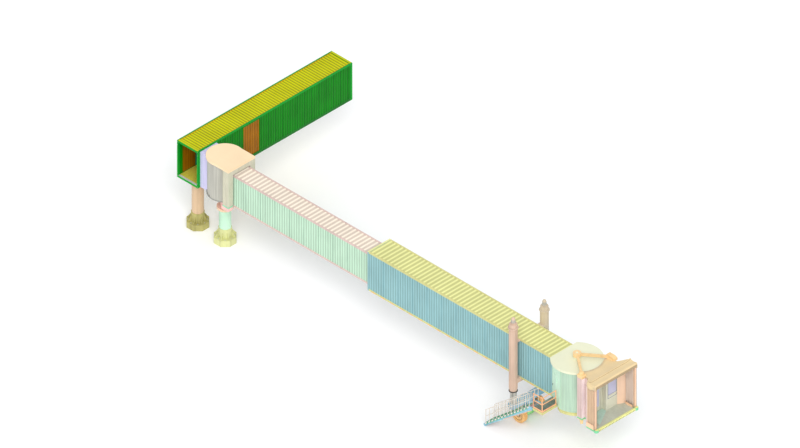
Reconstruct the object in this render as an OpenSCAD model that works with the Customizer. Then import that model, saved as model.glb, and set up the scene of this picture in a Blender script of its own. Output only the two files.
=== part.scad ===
// Passenger boarding bridge: a fixed walkway on a pedestal, a rotunda on a column,
// two telescoping tunnels, a wheeled lift and a turning cab with a canopy.
// Millimetres. The origin is the middle of the underside of the rotunda column's base,
// X runs along the tunnels to the cab, Y runs along the walkway to its wall, Z is up.

/* [Walkway] */
// Height of the walkway's underside above the ground
walkway_z = 3800; // [3600:50:4200]
// Outside width of the walkway
walkway_w = 1900; // [1800:50:2200]
// Outside length of the walkway
walkway_l = 14100; // [9000:100:16000]
// Outside height of the walkway
walkway_h = 2900; // [2850:50:3200]
// Thickness of the walkway's walls and roof, ribs included
walkway_wall_t = 100; // [80:5:120]
// Width of the posts round the walkway's openings
post_w = 180; // [120:10:200]
// Distance from the walkway's open end to the rotunda's centre line
walkway_overhang = 950; // [950:10:1200]
// Width of the closed openings in the side walls
infill_w = 1500; // [1000:50:1500]
// Distance from the walkway's open end to the further closed opening
infill_y = 4150; // [3600:50:5000]
// Height of the closed openings
infill_h = 2500; // [2200:50:2550]

/* [Columns] */
// Diameter of the two columns
column_d = 800; // [700:10:860]
// Width of the columns' bases across the flats
base_w = 1460; // [1400:10:1600]
// Thickness of the bases' octagonal blocks
base_h = 450; // [350:10:500]
// Height of the sleeve that holds each column
sleeve_h = 1100; // [900:10:1200]
// Wall of the sleeve
sleeve_t = 35; // [20:1:50]
// Diameter of the slewing ring on the rotunda's column
slew_d = 1100; // [1050:10:1200]
// Height of the slewing ring's sliding plane above the ground
slew_z = 2700; // [2500:10:2900]
// Diameter of the neck between the slewing ring and the rotunda's frame
neck_d = 600; // [500:10:700]

/* [Rotunda] */
// Radius of the rotunda's round roof
rotunda_r = 1250; // [1240:10:1300]
// Distance from the rotunda's centre to its front face
rotunda_front = 1520; // [1500:10:1600]
// Length of the rotunda's straight side walls
cheek_l = 520; // [480:10:560]
// Thickness of the rotunda's straight walls
rotunda_wall_t = 50; // [40:5:60]
// Depth of the vestibule between the walkway and the rotunda's roof
vestibule_l = 290; // [280:10:400]
// Clear width of the way from the walkway into the rotunda
passage_w = 1400; // [1200:20:1440]
// Thickness of the slatted curtains
curtain_t = 25; // [18:1:28]
// Furthest swing of the tunnels towards the open side, in degrees
swing_out = 40; // [30:1:42]
// Furthest swing of the tunnels towards the wall side, in degrees
swing_in = 15; // [10:1:16]

/* [Inner tunnel] */
// Outside width of the inner tunnel
tunnel_a_w = 1500; // [1400:10:1560]
// Outside height of the inner tunnel
tunnel_a_h = 2420; // [2300:10:2480]
// Length of the inner tunnel
tunnel_a_l = 15200; // [14800:50:15800]
// Thickness of the inner tunnel's walls, ribs included
tunnel_a_t = 60; // [45:5:75]
// Width of the inner tunnel's edge rails
rail_a_w = 110; // [100:5:130]

/* [Outer tunnel] */
// Outside width of the outer tunnel
tunnel_b_w = 2030; // [1980:10:2100]
// Outside height of the outer tunnel
tunnel_b_h = 3050; // [3020:10:3150]
// Length of the outer tunnel
tunnel_b_l = 16850; // [16000:50:17000]
// Distance of the outer tunnel's inner end from the rotunda's centre
tunnel_b_x = 14000; // [13500:50:14200]
// Thickness of the outer tunnel's walls, ribs included
tunnel_b_t = 70; // [55:5:85]
// Width of the outer tunnel's edge rails
rail_b_w = 110; // [100:5:130]

/* [Lift] */
// Distance of the lift columns from the cab end of the outer tunnel
lift_back = 3150; // [2800:50:3400]
// Half the distance between the lift columns
lift_y = 1420; // [1380:10:1500]
// Outside diameter of a lift column's tube
lift_d = 580; // [540:10:600]
// Diameter of a lift column's inner leg
leg_d = 460; // [420:10:470]
// Length of a lift column's outer tube
lift_l = 5300; // [5000:50:5600]
// Height of the lift column's top above the outer tunnel's roof
lift_up = 1350; // [1250:50:1500]
// Diameter of the wheels
wheel_d = 1200; // [1100:10:1250]
// Width of the wheels
wheel_w = 360; // [300:10:400]
// Distance between the wheels' middles
wheel_track = 1700; // [1650:10:1800]

/* [Cab] */
// Radius of the cab drum's roof
drum_roof_r = 1740; // [1720:10:1800]
// Radius of the cab drum's slatted wall
drum_r = 1625; // [1600:5:1640]
// Distance of the cab drum's centre from the outer tunnel's end
drum_x = 1250; // [1200:10:1300]
// Distance from the cab drum's centre to the cab's front edge
cab_front = 3600; // [3500:10:3800]
// Width of the cab's front
cab_w = 3900; // [3700:20:4000]
// Height of the canopy's front above the cab floor
cab_h = 3540; // [3500:10:3700]
// Furthest turn of the cab to either side, in degrees
cab_turn = 25; // [20:1:26]
// Length of the cab's rear corner posts
cab_post_l = 440; // [400:10:460]
// Width of the cab's rear corner posts
cab_post_w = 390; // [360:10:420]
// Thickness of the cab's walls
cab_wall_t = 60; // [40:5:70]

/* [Service stair] */
// Length of the landing along the tunnel
landing_l = 860; // [820:10:900]
// Distance from the centre line to the landing's outer edge
landing_y = 2850; // [2800:10:3000]
// Width of the stair over its stringers
stair_w = 860; // [760:10:900]
// Horizontal length of the stair
stair_run = 4300; // [3900:50:4700]
// Height of the handrails
rail_h = 1150; // [1000:10:1200]

/* [Hidden] */

// Running gaps
seat_gap = 0.3;
pin_gap = 0.25;
touch = 0.05;
move_gap = 10;
eps = 1;

// Ribbed sheet
rib_h = 25;
rib_pitch = 220;
roof_pitch = 337;
rib_top = 70;
rib_flank = 20;

// Walkway, seen along Y
wk_x1 = -(rotunda_r + vestibule_l);
wk_x0 = wk_x1 - walkway_w;
wk_xm = (wk_x0 + wk_x1)/2;
wk_y0 = -walkway_overhang;
wk_y1 = wk_y0 + walkway_l;
wk_top = walkway_z + walkway_h;
beam_h = 200;
beam_w = walkway_wall_t;
deck_t = 80;
floor_z = walkway_z + 150;
wk_wall_z1 = wk_top - walkway_wall_t;
wk_wall_z = [walkway_z + beam_h, wk_wall_z1];
end_frame_l = post_w;
wk_in0 = wk_y0 + end_frame_l;
wk_in1 = wk_y1 - end_frame_l;
portal_y0 = -passage_w/2;
portal_y1 = passage_w/2;
blind_y0 = portal_y0 + post_w;
blind_w = infill_w - 2*post_w;
infill_y0 = wk_y0 + infill_y;
infill_z0 = walkway_z + beam_h;
infill_z1 = infill_z0 + infill_h;

// Columns
collar_h = 90;
slew_t = 90;
head_t = 120;
head_w = walkway_w - 100;

// Rotunda
rot_in = rotunda_r - 75;
rot_out = rot_in + rotunda_wall_t;
rot_floor_z0 = floor_z - 100;
rot_frame_z0 = rot_floor_z0 - 250;
rot_frame_half = 560;
rot_frame_t = 120;
rim_top = floor_z - 20;
rot_z1 = wk_top - 50;
rot_roof_t = 150;
moving_r = rot_in + curtain_t;
fixed_r = rot_in - 15;
sill_in = fixed_r - curtain_t - 20;
rot_disc_r = sill_in - 30;
rot_rim_r = moving_r + 15;
fixed_z0 = rim_top + move_gap;
fixed_z1 = rot_z1 - 50;
vest_t = 40;
vest_half = passage_w/2;
jamb_a = asin((vest_half + vest_t)/fixed_r);
fixed_a0 = asin(vest_half/fixed_r);
moving_near_a = jamb_a + 1 + swing_out;
moving_far_a = jamb_a + 1 + swing_in;
fixed_a1 = jamb_a + 2 + swing_out + swing_in;
cheek_x0 = rotunda_front - cheek_l;
cheek_a = acos(cheek_x0/moving_r);
slat_w = 110;
slat_groove = 8;

// Inner tunnel and its hinge
a_x0 = rotunda_front - 220;
a_x1 = a_x0 + tunnel_a_l;
a_z0 = walkway_z;
a_z1 = a_z0 + tunnel_a_h;
a_half = tunnel_a_w/2;
a_in = a_half - rail_a_w;
a_deck_top = a_z0 + 140;
a_roof_z = a_z1 - 80;
hinge_x = a_x0 + 100;
hinge_z = a_z0 - 100;
hinge_pin_r = 40;
lug_r = 65;
lug_y = 380;
lug_t = 60;
ear_t = 70;
ear_gap = 10;
notch_half = a_half + 50;

// Outer tunnel
b_x0 = tunnel_b_x;
b_x1 = b_x0 + tunnel_b_l;
b_z0 = a_z0 - 200;
b_z1 = b_z0 + tunnel_b_h;
b_half = tunnel_b_w/2;
b_in = b_half - rail_b_w;
b_deck_top = b_z0 + 120;
b_rail_top = b_z0 + 140;
b_roof_z = b_z1 - 100;
portal_l = 120;
b_x0w = b_x0 + portal_l;

// Lift
lift_x = b_x1 - lift_back;
lift_z1 = b_z1 + lift_up;
lift_z0 = lift_z1 - lift_l;
bush_h = 300;
flute_h = 20;
wheel_r = wheel_d/2;
beam_top = 1700;
beam_t = 320;
bogie_top = beam_top - beam_t - seat_gap;
axle_r = 70;
leg_top = lift_z1 - 1700;

// Cab drum, placed at its own centre
drum_cx = b_x1 + drum_x;
drum_t = 30;
drum_fz = b_deck_top;
drum_f0 = drum_fz - 200;
rim_z0 = drum_f0 - 170;
drum_roof_z = b_z1;
drum_roof_t = 150;
drum_top = drum_roof_z + drum_roof_t;
panel_a = 87;
drum_a0 = 30;
drum_floor_r = drum_r - drum_t;
cab_curtain_in = drum_r + 30;
cab_curtain_out = cab_curtain_in + drum_t;
post_x0 = 1540;
post_x1 = post_x0 + cab_post_l;
post_y1 = 1540;
post_y0 = post_y1 - cab_post_w;
post_x = (post_x0 + post_x1)/2;
post_y = (post_y0 + post_y1)/2;
post_a = atan2(post_y, post_x);
cab_curtain_a0 = post_a + asin(cab_wall_t/2/(cab_curtain_out - 15));
cab_curtain_a1 = panel_a - 4 - cab_turn;
pivot_r = 80;
pivot_gap = 0.8;
arm_z = drum_top + 200;
arm_t = 160;
hub_r = 270;
bearing_r = 260;
roof_clear_r = drum_roof_r + 30;
cab_half = cab_w/2;
bellows_x0 = cab_front - 850;
bellows_x1 = cab_front - 50;
bellows_y = cab_half - 50;
bellows_t = 230;
cab_z0 = drum_fz - 120;
pad_r = 140;
canopy_z0 = drum_top + 30;
canopy_z1 = drum_fz + cab_h;
side_y = 1220;
side_out = side_y + cab_wall_t;
bulk_t = 60;
bulk_x = post_x1 + 40;
booth_x = bulk_x + 350;
booth_y = 220;
door_y0 = -800;
door_y1 = 60;
door_h = 2180;
cab_hinges = [drum_fz + 300, drum_fz + door_h - 400];
window_y0 = booth_y + bulk_t + 120;
window_y1 = side_y - 60;
window_z0 = drum_fz + 880;
window_z1 = drum_fz + 2280;
leaf_t = 45;
leaf_gap = 12;
hinge_out = 45;
hinge_h = 100;
knuckle_h = 40;
knuckle_r = 22;
door_pin_r = 10;

// Half of the cab floor's plan about the drum's centre, from the drum to the front
half_plan = [[post_x0, post_x0*tan(post_a)], [post_x0, post_y1], [post_x1, post_y1],
    [post_x1, side_out], [booth_x, side_out], [bellows_x0 - 20, bellows_y], [bellows_x1, bellows_y]];

// Oblique panel between tunnel and drum, measured from the tunnel's corner
panel_p0 = [b_x1, b_half];
panel_p1 = [drum_cx + (drum_r + 35)*cos(panel_a), (drum_r + 35)*sin(panel_a)];
panel_q1 = [drum_cx + drum_floor_r*cos(panel_a), drum_floor_r*sin(panel_a)];
panel_z0 = drum_f0 + 60;
panel_dx = panel_p1[0] - panel_p0[0];
panel_dy = panel_p1[1] - panel_p0[1];
panel_dir = atan2(panel_dy, panel_dx);
sdoor_s0 = 130;
sdoor_s1 = 900;
sdoor_h = 2050;

// Landing and stair
land_x0 = b_x1 + 60;
land_x1 = land_x0 + landing_l;
land_z = drum_fz - 40;
land_t = 60;
stair_y0 = -landing_y;
stair_y1 = stair_y0 + stair_w;
stair_px = land_x0 - 60;
stair_pz = land_z - 110;
foot_r = 90;
stair_pin_r = 20;
stair_eye_r = 45;
stair_rise = stair_pz - foot_r;
tread_rise = 225;
tread_n = round(stair_rise/tread_rise) - 1;
stringer_h = 220;
stringer_slope = (stair_rise - 70)/(stair_run - 140);
stringer_t = 40;
tube_r = 24;

function polar(r, a) = [r*cos(a), r*sin(a)];

// Outline of a ribbed sheet: flat inside at 0, ribs outside
function rib_outline(l, t, pitch) =
    let (n = max(1, round(l/pitch)), p = l/n, low = t - rib_h)
    concat([[0, 0], [0, low]],
        [for (i = [0:n - 1], k = [0:3])
            [i*p + p/2 + [-rib_top/2 - rib_flank, -rib_top/2, rib_top/2, rib_top/2 + rib_flank][k],
             (k == 0 || k == 3) ? low : t]],
        [[l, low], [l, 0]]);

// Upper edge of the stair's stringers
function stringer_top(x) = stair_pz + 60 - (stair_px - 260 - x)*stringer_slope;

// Ring sector of flat slats with a groove at each joint
function slat_outline(r, t, a0, a1) =
    let (n = max(2, round(r*(a1 - a0)*PI/180/slat_w)), s = (a1 - a0)/n)
    concat(
        [for (i = [0:n - 1], k = [0:2])
            polar(k == 0 ? r - slat_groove : r, a0 + (i + [0, 0.12, 0.88][k])*s)],
        [polar(r - slat_groove, a1)],
        [for (i = [n:-1:0]) polar(r - t, a0 + i*s)]);

module block(x, y, z) {
    translate([x[0], y[0], z[0]]) cube([x[1] - x[0], y[1] - y[0], z[1] - z[0]]);
}

module both_sides() {
    children();
    mirror([0, 1, 0]) children();
}

// Sheet standing on the XZ plane, ribs towards +Y
module wall_sheet(x, y, z, t, pitch) {
    translate([x[0], y, z[0]]) linear_extrude(z[1] - z[0])
        polygon(rib_outline(x[1] - x[0], t, pitch));
}

// Sheet lying down with its ribs across, running along X
module roof_sheet(x, half, z, t, pitch) {
    translate([x[0], half, z]) rotate([90, 0, 0]) linear_extrude(2*half)
        polygon(rib_outline(x[1] - x[0], t, pitch));
}

// Hinge barrels of a door leaf; the leaf lies towards -X and opens towards +Y
module leaf_barrels(leaf_face, heights) {
    for (z = heights) difference() {
        union() {
            translate([0, hinge_out, z]) cylinder(h = hinge_h, r = knuckle_r, $fn = 32);
            block([-60, 0], [leaf_face - eps, hinge_out], [z, z + hinge_h]);
        }
        translate([0, hinge_out, z - eps])
            cylinder(h = hinge_h + 2*eps, r = door_pin_r + pin_gap, $fn = 32);
    }
}

// Pins and knuckles on the frame that the leaf's barrels turn on
module frame_knuckles(heights) {
    for (z = heights) {
        translate([0, hinge_out, z - knuckle_h])
            cylinder(h = hinge_h + 2*knuckle_h, r = door_pin_r, $fn = 32);
        for (z0 = [z - knuckle_h, z + hinge_h + seat_gap]) {
            translate([0, hinge_out, z0]) cylinder(h = knuckle_h - seat_gap, r = knuckle_r, $fn = 32);
            block([0, 50], [-5, hinge_out], [z0, z0 + knuckle_h - seat_gap]);
        }
    }
}

module slats(r, t, a0, a1, z) {
    translate([0, 0, z[0]]) linear_extrude(z[1] - z[0])
        polygon(slat_outline(r, t, a0, a1));
}

module ring_sector(r0, r1, a0, a1, z) {
    n = 12;
    translate([0, 0, z[0]]) linear_extrude(z[1] - z[0]) polygon(concat(
        [for (i = [0:n]) polar(r1, a0 + (a1 - a0)*i/n)],
        [for (i = [n:-1:0]) polar(r0, a0 + (a1 - a0)*i/n)]));
}

// Octagonal base block with a sleeve and gussets
module column_base() {
    gusset_t = 30;
    gusset_h = 420;
    sleeve_r = column_d/2 + sleeve_t;
    difference() {
        union() {
            rotate(22.5) cylinder(h = base_h, r = base_w/2/cos(22.5), $fn = 8);
            cylinder(h = sleeve_h, r = sleeve_r, $fn = 64);
            for (i = [0:7]) rotate(i*45 + 22.5) translate([0, gusset_t/2, 0])
                rotate([90, 0, 0]) linear_extrude(gusset_t) polygon([
                    [sleeve_r - 10, base_h - 10], [base_w/2 - 20, base_h - 10],
                    [base_w/2 - 20, base_h + 60], [sleeve_r + 20, base_h + gusset_h],
                    [sleeve_r - 10, base_h + gusset_h]]);
        }
        translate([0, 0, base_h]) cylinder(h = sleeve_h, r = column_d/2, $fn = 64);
    }
}

module pedestal_base() color([0.80, 0.77, 0.43]) translate([wk_xm, 0, 0]) column_base();

module pedestal_column() color([0.82, 0.70, 0.55]) translate([wk_xm, 0, 0]) {
    translate([0, 0, base_h]) cylinder(h = walkway_z - head_t - base_h, d = column_d, $fn = 64);
    block([-head_w/2, head_w/2], [-350, 350], [walkway_z - head_t, walkway_z]);
    head_z = walkway_z - head_t;
    rib_t = 30;
    for (s = [-1, 1]) rotate([90, 0, 0]) translate([0, 0, s*200 - rib_t/2])
        linear_extrude(rib_t) polygon([
            [-head_w/2 + 80, head_z + 5], [head_w/2 - 80, head_z + 5],
            [column_d/2 - 5, head_z - 420], [-column_d/2 + 5, head_z - 420]]);
}

module walkway_floor() color([0.85, 0.78, 0.25])
    block([wk_x0 + beam_w, wk_x1 - beam_w], [wk_in0, wk_in1], [floor_z - deck_t, floor_z]);

// Side beams and cross members under the floor
module walkway_beams() color([0.07, 0.35, 0.09]) {
    block([wk_x0, wk_x0 + beam_w], [wk_in0, wk_in1], [walkway_z, walkway_z + beam_h]);
    difference() {
        block([wk_x1 - beam_w, wk_x1], [wk_in0, wk_in1], [walkway_z, walkway_z + beam_h]);
        block([wk_x1 - beam_w - eps, wk_x1 + eps], [portal_y0, portal_y1],
            [floor_z, walkway_z + beam_h + eps]);
    }
    n = round((walkway_l - 2*end_frame_l)/2200);
    for (i = [0:n]) {
        y = wk_in0 + (wk_in1 - wk_in0 - 80)*i/n;
        block([wk_x0 + beam_w - eps, wk_x1 - beam_w + eps], [y, y + 80],
            [walkway_z, floor_z - deck_t]);
    }
}

// Ribbed sheet along the walkway, ribs towards -X
module walkway_sheet(y, z) {
    translate([0, y[0], z[0]]) rotate(90) linear_extrude(z[1] - z[0])
        polygon(rib_outline(y[1] - y[0], walkway_wall_t, rib_pitch));
}

module walkway_left_wall() color([0.10, 0.55, 0.12]) translate([wk_x0 + walkway_wall_t, 0, 0])
    difference() {
        walkway_sheet([wk_in0, wk_in1], wk_wall_z);
        block([-walkway_wall_t - eps, eps], [blind_y0, blind_y0 + blind_w],
            [infill_z0 - eps, infill_z1]);
    }

module walkway_right_wall() color([0.10, 0.55, 0.12])
    translate([wk_x1 - walkway_wall_t, 0, 0]) mirror([1, 0, 0]) difference() {
        walkway_sheet([portal_y1 + post_w, wk_in1], wk_wall_z);
        block([-walkway_wall_t - eps, eps], [infill_y0, infill_y0 + infill_w],
            [infill_z0 - eps, infill_z1]);
    }

// Panels that close the two unused openings
module walkway_infills() color([0.75, 0.48, 0.12]) {
    infill_t = walkway_wall_t - 30;
    translate([wk_x1 - walkway_wall_t, infill_y0, infill_z0]) mirror([1, 0, 0])
        rotate(90) linear_extrude(infill_h) polygon(rib_outline(infill_w, infill_t, rib_pitch));
    translate([wk_x0 + walkway_wall_t, blind_y0, infill_z0]) rotate(90)
        linear_extrude(infill_h) polygon(rib_outline(blind_w, infill_t, rib_pitch));
}

module walkway_roof() color([0.84, 0.84, 0.05])
    translate([wk_x0 + beam_w, wk_in0, wk_wall_z1]) rotate([90, 0, 90])
        linear_extrude(walkway_w - 2*beam_w)
            polygon(rib_outline(wk_in1 - wk_in0, walkway_wall_t - 20, rib_pitch));

module walkway_roof_rails() color([0.05, 0.60, 0.15])
    for (x = [wk_x0, wk_x1 - beam_w])
        block([x, x + beam_w], [wk_in0, wk_in1], [wk_wall_z1, wk_top]);

// Portal frames at both ends, and the posts beside the way into the rotunda
module walkway_frames() color([0.06, 0.50, 0.10]) {
    for (y = [wk_y0, wk_in1]) difference() {
        block([wk_x0, wk_x1], [y, y + end_frame_l], [walkway_z, wk_top]);
        block([wk_x0 + walkway_wall_t, wk_x1 - walkway_wall_t], [y - eps, y + end_frame_l + eps],
            [floor_z, wk_top - 150]);
    }
    difference() {
        block([wk_x1 - walkway_wall_t, wk_x1], [wk_in0 - end_frame_l/2, portal_y1 + post_w], wk_wall_z);
        block([wk_x1 - walkway_wall_t - eps, wk_x1 + eps], [portal_y0, portal_y1],
            [wk_wall_z[0] - eps, fixed_z1]);
    }
}

// Short fixed passage from the walkway to the rotunda's curtains
module vestibule() color([0.80, 0.78, 0.92]) {
    floor_r = rot_rim_r + 20;
    difference() {
        union() {
            both_sides() block([wk_x1, -fixed_r/2], [vest_half, vest_half + vest_t],
                [fixed_z0, fixed_z1 - vest_t]);
            block([wk_x1, -fixed_r/2], [-vest_half - vest_t, vest_half + vest_t],
                [fixed_z1 - vest_t, fixed_z1]);
        }
        translate([0, 0, fixed_z0 - eps]) cylinder(h = 4000, r = fixed_r + seat_gap, $fn = 240);
    }
    difference() {
        block([wk_x1, -fixed_r/2], [-vest_half - vest_t, vest_half + vest_t],
            [floor_z - 100, floor_z]);
        translate([0, 0, floor_z - 100 - eps]) cylinder(h = 200, r = floor_r, $fn = 240);
    }
}

module rotunda_base() color([0.85, 0.84, 0.55]) column_base();

module rotunda_column() color([0.80, 0.94, 0.84]) {
    translate([0, 0, base_h]) cylinder(h = slew_z - collar_h - base_h, d = column_d, $fn = 64);
    translate([0, 0, slew_z - collar_h]) cylinder(h = collar_h, d = slew_d, $fn = 64);
}

module fixed_curtains() color([0.76, 0.76, 0.74]) {
    for (s = [0, 1]) mirror([0, s, 0]) {
        slats(fixed_r, curtain_t, 180 - fixed_a1, 180 - fixed_a0, [fixed_z0, fixed_z1]);
        for (z = [fixed_z0, fixed_z1 - 80])
            ring_sector(sill_in, fixed_r - curtain_t + 4, 180 - fixed_a1, 180 - fixed_a0, [z, z + 80]);
    }
}

// Slewing ring, neck, frame under the rotunda's floor and ears for the inner tunnel's hinge
module rotunda_yoke() color([0.93, 0.76, 0.70]) {
    z0 = slew_z + seat_gap;
    ear_z1 = a_z0 - 15;
    frame_z = [rot_frame_z0, rot_floor_z0];
    arm_x0 = cheek_x0 - rot_frame_t;
    translate([0, 0, z0]) cylinder(h = slew_t - seat_gap, d = slew_d, $fn = 64);
    translate([0, 0, slew_z + slew_t - eps])
        cylinder(h = rot_frame_z0 - slew_z - slew_t + 2*eps, d = neck_d, $fn = 64);
    block([-rot_frame_half, a_x0 - 50], [-rot_frame_half, rot_frame_half], frame_z);
    both_sides() {
        block([arm_x0, cheek_x0], [rot_frame_half - eps, rot_out - eps], frame_z);
        block([arm_x0, rotunda_front], [rot_out - rot_frame_t, rot_out], frame_z);
        block([rotunda_front - rot_frame_t, rotunda_front], [notch_half, rot_out], frame_z);
        for (y = [lug_y - ear_gap - ear_t, lug_y + lug_t + ear_gap]) {
            block([a_x0 - 300, hinge_x], [y, y + ear_t], [hinge_z - lug_r, ear_z1]);
            translate([hinge_x, y, hinge_z]) rotate([-90, 0, 0])
                cylinder(h = ear_t, r = lug_r, $fn = 32);
        }
        translate([hinge_x, lug_y - ear_gap - ear_t - 15, hinge_z]) rotate([-90, 0, 0])
            cylinder(h = lug_t + 2*ear_gap + 2*ear_t + 30, r = hinge_pin_r, $fn = 32);
    }
}

// Round floor inside the curtains and the plate that carries the straight front
module rotunda_floor() color([0.59, 0.84, 0.69]) {
    lip = 10;
    translate([0, 0, rot_floor_z0]) cylinder(h = rim_top - rot_floor_z0, r = rot_rim_r, $fn = 96);
    translate([0, 0, rim_top - eps]) cylinder(h = floor_z - rim_top + eps, r = rot_disc_r, $fn = 96);
    difference() {
        union() {
            block([rot_disc_r/2, cheek_x0 + eps], [-rot_frame_half, rot_frame_half],
                [rim_top - eps, floor_z]);
            block([cheek_x0, rotunda_front + lip], [-rot_out - lip, rot_out + lip],
                [rot_floor_z0, floor_z]);
        }
        block([a_x0 - 20, rotunda_front + 2*lip], [-notch_half, notch_half],
            [rot_floor_z0 - eps, floor_z + eps]);
    }
}

// Roof: a round part over the curtains and a square part over the front
module rotunda_roof() color([0.98, 0.90, 0.76]) {
    lip = 30;
    translate([0, 0, rot_z1]) cylinder(h = rot_roof_t, r = rotunda_r, $fn = 96);
    block([0, rotunda_front], [-rot_out, rot_out], [rot_z1, rot_z1 + rot_roof_t]);
    block([0, rotunda_front - lip], [-rot_out + lip, rot_out - lip],
        [rot_z1 + rot_roof_t - eps, rot_z1 + rot_roof_t + 15]);
}

// Straight side walls and the front wall with the opening for the inner tunnel
module rotunda_shell() color([0.84, 0.82, 0.72]) {
    walls_z = [floor_z, rot_z1];
    both_sides() {
        block([cheek_x0, rotunda_front], [rot_in, rot_out], walls_z);
        block([rotunda_front - rotunda_wall_t, rotunda_front], [notch_half - 10, rot_in + eps], walls_z);
        block([cheek_x0, cheek_x0 + rotunda_wall_t], [moving_r*sin(cheek_a) - 40, rot_in + eps], walls_z);
    }
    block([rotunda_front - rotunda_wall_t, rotunda_front], [-notch_half, notch_half],
        [a_z1 + 90, rot_z1]);
}

// Curtains that turn with the rotunda outside the fixed ones
module moving_curtains() color([0.72, 0.72, 0.71]) {
    slats(moving_r, curtain_t, cheek_a, 180 - moving_far_a, [rim_top, rot_z1]);
    mirror([0, 1, 0]) slats(moving_r, curtain_t, cheek_a, 180 - moving_near_a, [rim_top, rot_z1]);
}

module tunnel_a_floor() color([0.62, 0.62, 0.58]) {
    block([a_x0, a_x1], [-a_in, a_in], [a_deck_top - 60, a_deck_top]);
    n = round(tunnel_a_l/1500);
    for (i = [1:n - 1])
        block([a_x0 + tunnel_a_l*i/n - 40, a_x0 + tunnel_a_l*i/n + 40], [-a_in, a_in],
            [a_z0 + 20, a_deck_top - 60 + eps]);
}

module tunnel_a_left_wall() color([0.79, 0.91, 0.82])
    wall_sheet([a_x0, a_x1], a_half - tunnel_a_t, [a_deck_top, a_roof_z], tunnel_a_t, rib_pitch);

module tunnel_a_right_wall() color([0.79, 0.91, 0.82]) mirror([0, 1, 0])
    wall_sheet([a_x0, a_x1], a_half - tunnel_a_t, [a_deck_top, a_roof_z], tunnel_a_t, rib_pitch);

module tunnel_a_roof() color([0.98, 0.92, 0.86])
    roof_sheet([a_x0, a_x1], a_in, a_roof_z, a_z1 - a_roof_z - 10, roof_pitch);

// Edge rails, hinge lugs at the rotunda and slide pads at the far end
module tunnel_a_rails() color([0.92, 0.78, 0.76]) {
    pad_x = a_x1 - 400;
    both_sides() {
        block([a_x0, a_x1], [a_in, a_half], [a_z0, a_deck_top]);
        block([a_x0, a_x1], [a_in, a_half], [a_roof_z, a_z1]);
        block([pad_x, pad_x + 300], [a_in + 10, a_half - 10], [b_deck_top + seat_gap, a_z0 + eps]);
        difference() {
            union() {
                block([hinge_x - lug_r, hinge_x + lug_r], [lug_y, lug_y + lug_t],
                    [hinge_z, a_z0 + eps]);
                translate([hinge_x, lug_y, hinge_z]) rotate([-90, 0, 0])
                    cylinder(h = lug_t, r = lug_r, $fn = 32);
            }
            translate([hinge_x, lug_y - eps, hinge_z]) rotate([-90, 0, 0])
                cylinder(h = lug_t + 2*eps, r = hinge_pin_r + pin_gap, $fn = 32);
        }
    }
    block([a_x0, a_x0 + 200], [-a_in - eps, a_in + eps], [a_z0, a_deck_top - 60]);
}

module tunnel_b_floor() color([0.60, 0.62, 0.60]) {
    block([b_x0w, b_x1], [-b_in, b_in], [b_deck_top - 60, b_deck_top]);
    n = round(tunnel_b_l/1500);
    for (i = [1:n - 1])
        block([b_x0w + (b_x1 - b_x0w)*i/n - 40, b_x0w + (b_x1 - b_x0w)*i/n + 40], [-b_in, b_in],
            [b_z0, b_deck_top - 60 + eps]);
}

module tunnel_b_left_wall() color([0.58, 0.77, 0.79])
    wall_sheet([b_x0w, b_x1], b_half - tunnel_b_t, [b_rail_top, b_roof_z], tunnel_b_t, rib_pitch);

module tunnel_b_right_wall() color([0.58, 0.77, 0.79]) mirror([0, 1, 0])
    wall_sheet([b_x0w, b_x1], b_half - tunnel_b_t, [b_rail_top, b_roof_z], tunnel_b_t, rib_pitch);

module tunnel_b_roof() color([0.93, 0.93, 0.56])
    roof_sheet([b_x0w, b_x1], b_in, b_roof_z, b_z1 - b_roof_z - 10, roof_pitch);

module tunnel_b_rails() color([0.93, 0.86, 0.50]) both_sides() {
    block([b_x0w, b_x1], [b_in, b_half], [b_z0, b_rail_top]);
    block([b_x0w, b_x1], [b_in, b_half], [b_roof_z, b_z1]);
}

// End frame that the inner tunnel passes through, with its guide pads
module tunnel_b_portal() color([0.55, 0.74, 0.80]) {
    open_half = a_half + 40;
    open_top = a_z1 + 40;
    difference() {
        block([b_x0, b_x0w], [-b_half, b_half], [b_z0, b_z1]);
        block([b_x0 - eps, b_x0w + eps], [-open_half, open_half], [b_deck_top, open_top]);
    }
    both_sides() {
        block([b_x0, b_x0w], [a_in + 10, a_half - 10], [a_z1 + seat_gap, open_top + eps]);
        block([b_x0, b_x0w], [a_half + seat_gap, open_half + eps], [a_z0, a_deck_top]);
    }
}

// Fluted tube of one lift column, with its flange and motor
module lift_tube() {
    bore = leg_d/2 + 8;
    body_r = lift_d/2 - flute_h;
    flange_z = lift_z1 - 330;
    motor_r = 130;
    motor_z = lift_z1 + 360;
    difference() {
        union() {
            translate([0, 0, lift_z0 + 200]) cylinder(h = lift_l - 200, r = body_r, $fn = 48);
            translate([0, 0, lift_z0]) cylinder(h = 201, r1 = leg_d/2 + 20, r2 = body_r, $fn = 48);
            for (i = [0:11]) rotate(i*30) block([body_r - 10, lift_d/2], [-35, 35],
                [lift_z0 + 260, flange_z - 140]);
            translate([0, 0, flange_z]) cylinder(h = 60, r = lift_d/2 + 60, $fn = 48);
            translate([0, 0, flange_z - 80])
                cylinder(h = 81, r1 = body_r, r2 = lift_d/2 + 10, $fn = 48);
            translate([0, 0, lift_z1 - eps]) cylinder(h = 60, r = body_r - 40, $fn = 48);
            translate([0, 0, lift_z1 + 50]) cylinder(h = motor_z - lift_z1 - 50, r = motor_r, $fn = 32);
            translate([0, 0, motor_z]) sphere(r = motor_r, $fn = 32);
        }
        translate([0, 0, lift_z0 - eps])
            cylinder(h = bush_h + 2*eps, r = leg_d/2 + seat_gap, $fn = 48);
        translate([0, 0, lift_z0 + bush_h])
            cylinder(h = lift_l - bush_h - 40, r = bore, $fn = 48);
    }
}

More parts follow.
